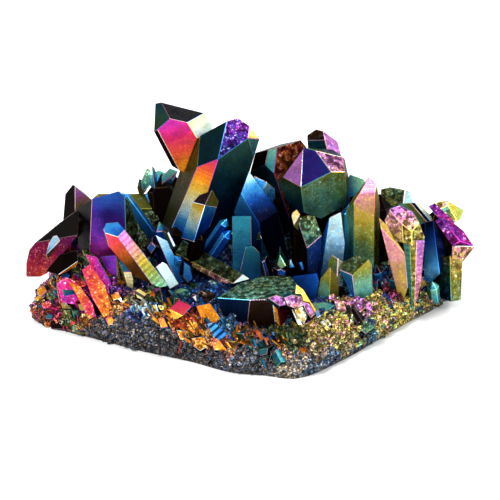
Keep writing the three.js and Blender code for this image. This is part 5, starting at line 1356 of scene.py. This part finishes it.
def druse_points(settings, count, length, width, seed, lying):
    """Small points on the slab: places drawn over its grid by area, axes leaning with the surface,
    lengths and widths drawn between the given limits. Where lying is 1 rather than 0, they point the
    way that they fell and keep near their spots. Those that would leave the CAD's box are dropped."""
    grid, normal = slab_grid(settings)
    draw = np.random.default_rng(seed)
    inner = grid[1:-1, :]
    area = np.linalg.norm(
        np.cross(np.roll(inner, -1, 1) - inner, grid[2:] - inner), axis=2
    ).ravel()
    if lying:
        gap = inner.reshape(-1, 1, 3)[..., :2] - SHARD_SPOTS[:, :2]
        area = area * np.exp(-(gap**2).sum(2) / SHARD_SPOTS[:, 2] ** 2).max(1)
    chosen = draw.choice(len(area), count, p=area / area.sum())
    places = inner.reshape(-1, 3)[chosen] + draw.normal(0, PLACE_SPREAD, (count, 3))
    upright = -normal[1:-1].reshape(-1, 3)[chosen] * (1 - (1 - SHARD_UPRIGHT) * lying)
    axes = unit(upright + SHARD_FALL * lying + LEAN_SPREAD * draw.normal(size=(count, 3)))
    lengths = draw.uniform(*length, count)
    widths = draw.uniform(*width, count)
    low, high = np.array(CAD_BOX) / MM - SHIFT
    room = 0.5 * widths[:, None]
    ends = np.stack((places - SINK * axes * lengths[:, None], places + axes * lengths[:, None]))
    keep = ((ends - room > low) & (ends + room < high)).all((0, 2))
    return [a[keep] for a in (places, axes, lengths, widths)], draw


# ---------------------------------------------------------------- materials


class Wire:
    """A shader socket that arithmetic can be written with: each operation adds one Math node."""

    def __init__(self, shader, socket):
        self.shader, self.socket = shader, socket

    def also(self, name):
        """Another output of the same node."""
        return Wire(self.shader, self.socket.node.outputs[name])

    def _math(self, operation, *values):
        return self.shader.node("ShaderNodeMath", {"operation": operation}, dict(enumerate(values)))

    def __add__(self, other):
        return self._math("ADD", self, other)

    def __sub__(self, other):
        return self._math("SUBTRACT", self, other)

    def __rsub__(self, other):
        return self._math("SUBTRACT", other, self)

    def __mul__(self, other):
        return self._math("MULTIPLY", self, other)

    __radd__ = __add__
    __rmul__ = __mul__

    def ramped(self, low, high):
        """0 up to low, 1 from high on, and a smooth rise between."""
        sockets = {"Value": self, "From Min": low, "From Max": high}
        return self.shader.node("ShaderNodeMapRange", {"interpolation_type": "SMOOTHSTEP"}, sockets)


class Shader:
    """A material's node tree around one Principled BSDF."""

    def __init__(self, name):
        self.material = bpy.data.materials.new(name)
        self.material.use_nodes = True
        self.tree = self.material.node_tree
        self.surface = self.tree.nodes["Principled BSDF"]

    def node(self, kind, settings=None, sockets=None, out=0):
        """Adds a node, sets its settings, then its sockets' values or links, and returns an output."""
        made = self.tree.nodes.new(kind)
        for name, value in (settings or {}).items():
            if name == "stops":
                self._set_stops(made.color_ramp, value)
            else:
                setattr(made, name, value)
        for name, value in (sockets or {}).items():
            self._feed(made.inputs[name], value)
        return Wire(self, made.outputs[out])

    def principled(self, **sockets):
        """Values or links for the Principled BSDF, with _ for the spaces in its socket names."""
        for name, value in sockets.items():
            self._feed(self.surface.inputs[name.replace("_", " ")], value)
        return self.material

    def painted(self):
        """The place on the piece, and the four channels of its paint."""
        place = self.node("ShaderNodeTexCoord").also("Object")
        paint = self.node("ShaderNodeAttribute", {"attribute_name": "film"})
        parts = self.node("ShaderNodeSeparateColor", {}, {0: paint})
        return place, parts, parts.also("Green"), parts.also("Blue"), paint.also("Alpha")

    def noise(self, place, scale, detail=2.0):
        return self.node("ShaderNodeTexNoise", {}, {"Vector": place, "Scale": scale, "Detail": detail})

    def cells(self, place, scale):
        """A random value for each cell of a field of grains, and the distance to its edge, from 0 at
        the edge to 1 well inside."""
        sockets = {"Vector": place, "Scale": scale}
        value = self.node("ShaderNodeTexVoronoi", {}, sockets, out="Color")
        edge = self.node("ShaderNodeTexVoronoi", {"feature": "DISTANCE_TO_EDGE"}, sockets)
        return self.node("ShaderNodeSeparateColor", {}, {0: value}), edge.ramped(0.0, 0.16)

    def scaled(self, colour, factor):
        sockets = {0: colour, "Scale": factor}
        return self.node("ShaderNodeVectorMath", {"operation": "SCALE"}, sockets)

    def bump(self, strength, depth, height):
        sockets = {"Strength": strength, "Distance": depth, "Height": height}
        return self.node("ShaderNodeBump", {}, sockets)

    def blend(self, factor, a, b):
        return self.node("ShaderNodeMix", {"data_type": "RGBA"}, {0: factor, 6: a, 7: b}, out=2)

    def _feed(self, socket, value):
        if isinstance(value, Wire):
            self.tree.links.new(value.socket, socket)
        else:
            socket.default_value = value

    def _set_stops(self, ramp, stops):
        while len(ramp.elements) < len(stops):
            ramp.elements.new(0.5)
        for element, (place, colour) in zip(ramp.elements, stops):
            element.position = place
            element.color = (*colour, 1.0)


def film_stops():
    """The film's run of colours as ramp stops, from the panel's own colours."""
    colours = bpy.context.scene.aura_film
    return [(ORDER[name], tuple(getattr(colours, name))) for name in FILM]


# How fine each feature of the film is, as features to the metre.
SLOW = 110.0  # drifts of colour
MOTTLE = 330.0  # blotches of light and sheen
MIDDLE = 650.0  # pits and waves in the growth lines
RUBBLE = 800.0  # the lumps of a grainy facet
SPECKLE = 2300.0
GLINTS = 3300.0
GRAINS = 2300.0  # grains of the druse
SPECKS = 4200.0  # and what they break up into
# How fine the lines across a crystal are, as lines to the millimetre or its angle.
GROWTH_LINES = 3.0
BANDS = 5.2
COAT_METAL, DRUSE_METAL = 0.75, 0.6  # how metallic the film is on a facet and on the druse
COAT_DEPTH, DRUSE_DEPTH = 0.0002, 0.0003  # metres from the lows to the highs of the fine relief
DRUSE_RELIEF = 0.6  # strength of the druse's
REFLECTION = (0.12, 0.13, 0.16, 1)  # tint of what the quartz under the film throws back
# Painted glint: the pale colour that glints on the film are painted towards.
PAINTED_GLINT = (0.85, 0.9, 0.8, 1)
BARE_BLUE, BARE_TAN = (*linear("5F7896"), 1), (*linear("A8937A"), 1)  # the two tones of bare matrix


def coat_material(name, roughness, relief):
    """The film on a crystal: its colours run with the order painted on the facet, shifted a little
    by a slow noise, by fine growth lines across the crystal and by speckles where it is grainy. Its
    light is mottled, broken up into pits and rubble where it is grainy, with painted shade in the
    rubble's hollows and painted glints on its lumps, and banded where it is painted so."""
    shader = Shader(name)
    place, order, light, grain, bands = shader.painted()
    along = shader.node("ShaderNodeAttribute", {"attribute_name": "along"}).also("Fac")
    slow = shader.noise(place, SLOW)
    middle = shader.noise(place, MIDDLE, 3.0)
    mottle = shader.noise(place, MOTTLE, 5.0)
    fine = shader.noise(place, SPECKLE)
    level = along * GROWTH_LINES + slow * 0.8
    lines = shader.node("ShaderNodeTexNoise", {"noise_dimensions": "1D"}, {"W": level})
    stripe = shader.node("ShaderNodeMath", {"operation": "SINE"}, {0: along * BANDS + middle * 1.5})
    crust = grain.ramped(0.55, 0.95)
    rubble = shader.noise(place, RUBBLE, 6.0).ramped(0.4, 0.58)
    cell, inside = shader.cells(place, GLINTS)
    # Painted glints: pale bright spots on the lumps of grainy facets.
    painted_glint = cell.ramped(0.8, 0.95) * rubble * grain.ramped(0.3, 1.0)
    spots = fine.ramped(0.56, 0.66) * grain
    pits = middle.ramped(0.5, 0.7) * grain
    # Where the film stands in its run of colours.
    shift = (slow - 0.5) * 0.05 + (lines - 0.5) * 0.02 + (middle - 0.5) * grain * 0.12
    shift = shift + (cell.also("Green") - 0.5) * crust * 0.06
    colour = shader.node("ShaderNodeValToRGB", {"stops": film_stops()}, {0: order + shift - spots * 0.05})
    # The light it throws back: speckled, pitted, banded, lined, mottled, then darkened in the rubble's
    # hollows as painted shade and lifted by painted glints.
    lit = light * (1 + spots * 1.1) * (1 - pits * 0.6) + spots * 0.05
    lit = lit * (1 - bands * stripe.ramped(-0.1, 0.3) * 0.9) * (0.86 + lines * 0.28)
    lit = lit * (0.35 + mottle * 1.3)
    lit = lit * (1 - (1 - rubble) * crust * 0.85) * (1 + painted_glint * 1.1) + painted_glint * 0.06
    colour = shader.blend(painted_glint * 0.4, colour, PAINTED_GLINT)
    height = lines * 0.35 + fine * grain * 0.8 + middle * grain * 0.8 + (rubble + inside) * crust
    return shader.principled(
        Base_Color=shader.scaled(colour, lit), Metallic=COAT_METAL, Specular_Tint=REFLECTION,
        Roughness=grain * 0.22 + (mottle * 0.12 + roughness),
        Normal=shader.bump(relief, COAT_DEPTH, height),
    )


def druse_material(name):
    """The film on the druse: each grain's own colour, dulled by bare matrix where the paint's last
    channel says so, and broken up into still finer grains, each with a tone of its own."""
    shader = Shader(name)
    place, order, light, _, dust = shader.painted()
    cell, inside = shader.cells(place, GRAINS)
    speck, _ = shader.cells(place, SPECKS)
    # The grains' colours lie a little below their zone's in the run, so 0.62 and not 0.5.
    order = order + (cell.also("Green") - 0.62) * 0.09
    colour = shader.node("ShaderNodeValToRGB", {"stops": film_stops()}, {0: order})
    bare = (cell.also("Blue") * 0.7 + speck * 0.3).ramped(0.42, 0.58)
    colour = shader.blend(dust, colour, shader.blend(bare, BARE_BLUE, BARE_TAN))
    tone = cell.ramped(0.2, 1.0)
    # Painted glints: the brightest of the fine specks are lifted well above their grain.
    lit = (0.1 + light) * (0.22 + tone * tone * 2.0 + speck.ramped(0.65, 0.95) * 1.6)
    lit = lit * (0.35 + inside * 0.65)
    height = inside * 0.8 + cell * 0.6 + speck * 0.3
    return shader.principled(
        Base_Color=shader.scaled(colour, lit), Metallic=DRUSE_METAL, Roughness=cell * 0.3 + 0.2,
        Normal=shader.bump(DRUSE_RELIEF, DRUSE_DEPTH, height),
    )


# ---------------------------------------------------------------- settings


def length(name, description, default, **limits):
    """A size in metres for the panel."""
    return number(name, description, default, subtype="DISTANCE", unit="LENGTH", **limits)


def number(name, description, default, **limits):
    """A plain number for the panel."""
    return bpy.props.FloatProperty(name=name, description=description, default=default, **limits)


def whole(name, description, default):
    """A whole number for the panel."""
    return bpy.props.IntProperty(name=name, description=description, default=default)


class AuraFilmSettings(bpy.types.PropertyGroup):
    """The film's colours, from the thinnest coat to the thickest."""

    __annotations__ = {
        name: bpy.props.FloatVectorProperty(
            name=name.title(), description=f"The film where it turns {name}", subtype="COLOR",
            default=linear(code), min=0, max=1,
        )
        for name, code in FILM.items()
    }


class AuraCrystalSettings(bpy.types.PropertyGroup):
    """The finish of every crystal."""

    bevel: length("Edge width", "Width taken off each side of an edge", 0.13 * MM, min=0.01 * MM)
    grid: length("Grid step", "Spacing of the points along a facet's rim", 1.3 * MM, min=0.3 * MM)
    swell: length("Swell", "Height of the slow swell of a facet", 0.02 * MM)
    swell_pitch: length("Swell pitch", "Distance from crest to crest of the swell", 5 * MM)
    relief: number("Relief", "Strength of the fine relief", 0.25)
    roughness: number("Roughness", "Roughness of a clean facet", 0.12, min=0, max=1)
    seed: whole("Seed", "Draws the coats of unnamed facets", 5)


class AuraDruseSettings(bpy.types.PropertyGroup):
    """The druse slab and the small points all over it."""

    spokes: whole("Spokes", "Steps round the outline", 620)
    steps: whole("Steps", "Steps from the skirt to the middle", 110)
    roughness_height: length("Roughness", "Height of the lumps in the crust", 1.0 * MM)
    points: whole("Points", "Number of small points", 2600)
    grains: whole("Grains", "Number of fine grains", 6500)
    shards: whole("Shards", "Number of fallen shards", 900)
    seed: whole("Seed", "Draws the places of the points", 3)


class AuraStageSettings(bpy.types.PropertyGroup):
    """The floor, the light and the camera."""

    floor: bpy.props.FloatVectorProperty(
        name="Floor", description="Colour of the floor", subtype="COLOR", default=(0.86, 0.86, 0.86)
    )
    elevation: number("Elevation", "Camera's angle above the level", math.radians(22), subtype="ANGLE")
    distance: length("Distance", "From the camera to the middle of the cluster", 450 * MM)
    target: length("Target height", "Height that the camera looks at", 17 * MM)
    lens: number("Lens", "Focal length in millimetres", 143.53)
    sensor: number("Sensor", "Sensor width in millimetres", 36)
    light: number("Light", "Strength of the surroundings", 0.8)


# ---------------------------------------------------------------- operators


def show(name, mesh, material, slot, *nodes):
    """Links a finished mesh as a piece that rides on the root and stands for its CAD nodes."""
    piece = bpy.data.objects.new(name, mesh)
    bpy.context.scene.collection.objects.link(piece)
    mesh.materials.append(material)
    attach(piece, "root")
    if nodes:
        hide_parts(*nodes)
    return piece


class AURA_OT_crystals(bpy.types.Operator):
    """Build every crystal, one piece for each node"""

    bl_idname = "aura.crystals"
    bl_label = "Crystals"

    def execute(self, context):
        settings = context.scene.aura_crystals
        finish = {
            coat: coat_material(f"{coat}_coat", settings.roughness, settings.relief) for coat in COATS
        }
        draw = np.random.default_rng(settings.seed)
        for name, coat, bodies in CRYSTALS:
            skin = Skin()
            for body in bodies:
                add_body(skin, body, settings, draw, COATS[coat])
            mesh = skin.mesh(name, SHIFT)
            show(f"{name}_facets", mesh, finish[coat], f"{coat}_coat", name)
        return {"FINISHED"}


class AURA_OT_chips(bpy.types.Operator):
    """Lay the splinters on the slab and stand the small points in the gaps"""

    bl_idname = "aura.chips"
    bl_label = "Splinters"

    def execute(self, context):
        settings = context.scene.aura_crystals
        draw = np.random.default_rng(settings.seed)
        skin = Skin()
        for body in CHIPS + FILLERS:
            add_body(skin, body, settings, draw, COATS["dark"])
        finish = coat_material("splinter_coat", settings.roughness, settings.relief)
        show("splinters", skin.mesh("splinters", SHIFT), finish, "druse_crust")
        return {"FINISHED"}


class AURA_OT_slab(bpy.types.Operator):
    """Build the druse slab with its lumps and banks"""

    bl_idname = "aura.slab"
    bl_label = "Druse slab"

    def execute(self, context):
        mesh = slab_skin(context.scene.aura_druse).mesh("druse_slab", SHIFT)
        show("druse_slab", mesh, druse_material("druse_crust"), "druse_crust", "druse_base")
        return {"FINISHED"}


# The layers on the slab: which, the limits of their lengths and widths, the chances of each of a
# face's four lights, and whether they lie where they fell.
LAYERS = (
    ("points", (0.9, 2.2), (0.9, 1.9), (0.3, 0.3, 0.25, 0.15), 0),
    ("grains", (0.3, 0.7), (0.45, 0.9), (0.4, 0.3, 0.2, 0.1), 0),
    ("shards", (1.5, 5.0), (0.35, 0.8), (0.4, 0.25, 0.2, 0.15), 1),
)
SHARD_FINISH = (0.25, 0.3)  # roughness and relief


class AURA_OT_points(bpy.types.Operator):
    """Grow the small points and fine grains all over the slab, and lay the fallen shards"""

    bl_idname = "aura.points"
    bl_label = "Druse points"

    def execute(self, context):
        settings = context.scene.aura_druse
        for i, (layer, long, wide, chances, lying) in enumerate(LAYERS):
            name = f"druse_{layer}"
            count = getattr(settings, layer)
            arrays, draw = druse_points(settings, count, long, wide, settings.seed + i, lying)
            zone = zone_pick(arrays[0], draw)
            if lying:
                clean = ZONE_DUST[zone] < SHARD_DUST
                arrays, zone = [a[clean] for a in arrays], zone[clean]
            skin = Skin()
            scatter(skin, *arrays, draw, zone, chances)
            mesh = skin.mesh(name, SHIFT, smooth=False)
            finish = coat_material(name, *SHARD_FINISH) if lying else druse_material(name)
            show(name, mesh, finish, "druse_crust")
        return {"FINISHED"}


FLOOR_HALF = 3.0  # metres from the middle of the floor to its edge
FLOOR_ROUGHNESS = 0.9
# Each lamp's name, place, width and power. They all point at the middle of the underside.
LAMPS = (
    ("key_light", (-0.45, -0.5, 0.75), 0.35, 9.0),
    ("fill_light", (0.7, -0.35, 0.4), 0.4, 4.0),
    ("rim_light", (0.15, 0.7, 0.5), 0.4, 5.0),
)


class AURA_OT_stage(bpy.types.Operator):
    """Set the floor, the lights and the camera"""

    bl_idname = "aura.stage"
    bl_label = "Stage"

    def execute(self, context):
        settings = context.scene.aura_stage
        scene = context.scene
        scene.view_settings.view_transform = "Standard"
        mesh = bpy.data.meshes.new("floor")
        corners = [(x * FLOOR_HALF, y * FLOOR_HALF, 0) for x, y in ((-1, -1), (1, -1), (1, 1), (-1, 1))]
        mesh.from_pydata(corners, [], [(0, 1, 2, 3)])
        floor = bpy.data.objects.new("floor", mesh)
        scene.collection.objects.link(floor)
        shader = Shader("pale_floor")
        mesh.materials.append(shader.principled(Base_Color=(*settings.floor, 1), Roughness=FLOOR_ROUGHNESS))
        world = bpy.data.worlds.new("studio")
        scene.world = world
        world.use_nodes = True
        sky = world.node_tree.nodes["Background"]
        sky.inputs["Color"].default_value = (1, 1, 1, 1)
        sky.inputs["Strength"].default_value = settings.light
        for name, place, size, power in LAMPS:
            lamp = bpy.data.lights.new(name, "AREA")
            lamp.size = size
            lamp.energy = power
            holder = bpy.data.objects.new(name, lamp)
            holder.location = place
            aim = -holder.location
            holder.rotation_euler = aim.to_track_quat("-Z", "Y").to_euler()
            scene.collection.objects.link(holder)
        camera = bpy.data.cameras.new("camera")
        camera.lens, camera.sensor_width = settings.lens, settings.sensor
        holder = bpy.data.objects.new("camera", camera)
        back, up = math.cos(settings.elevation), math.sin(settings.elevation)
        holder.location = (
            SHIFT[0] * MM, SHIFT[1] * MM - settings.distance * back,
            settings.target + settings.distance * up,
        )
        holder.rotation_euler = (math.pi / 2 - settings.elevation, 0, 0)
        scene.collection.objects.link(holder)
        scene.camera = holder
        return {"FINISHED"}


OPERATORS = (AURA_OT_stage, AURA_OT_crystals, AURA_OT_slab, AURA_OT_chips, AURA_OT_points)


class AURA_PT_panel(bpy.types.Panel):
    """The cluster's operators and settings"""

    bl_idname = "AURA_PT_panel"
    bl_label = "Aura Quartz"
    bl_space_type = "VIEW_3D"
    bl_region_type = "UI"
    bl_category = "Aura Quartz"

    def draw(self, context):
        for operator in OPERATORS:
            self.layout.operator(operator.bl_idname)
        for settings in SETTINGS:
            group = getattr(context.scene, settings)
            box = self.layout.box()
            for name in group.bl_rna.properties.keys():
                if name not in ("rna_type", "name"):
                    box.prop(group, name)


SETTINGS = {
    "aura_film": AuraFilmSettings,
    "aura_crystals": AuraCrystalSettings,
    "aura_druse": AuraDruseSettings,
    "aura_stage": AuraStageSettings,
}


def register():
    for cls in (*SETTINGS.values(), *OPERATORS, AURA_PT_panel):
        bpy.utils.register_class(cls)
    for name, cls in SETTINGS.items():
        setattr(bpy.types.Scene, name, bpy.props.PointerProperty(type=cls))


def unregister():
    for name in SETTINGS:
        delattr(bpy.types.Scene, name)
    for cls in (AURA_PT_panel, *reversed(OPERATORS), *reversed(SETTINGS.values())):
        bpy.utils.unregister_class(cls)


def main():
    register()
    bpy.ops.aura.stage()
    bpy.ops.aura.crystals()
    bpy.ops.aura.slab()
    bpy.ops.aura.chips()
    bpy.ops.aura.points()


if __name__ == "__main__":
    main()
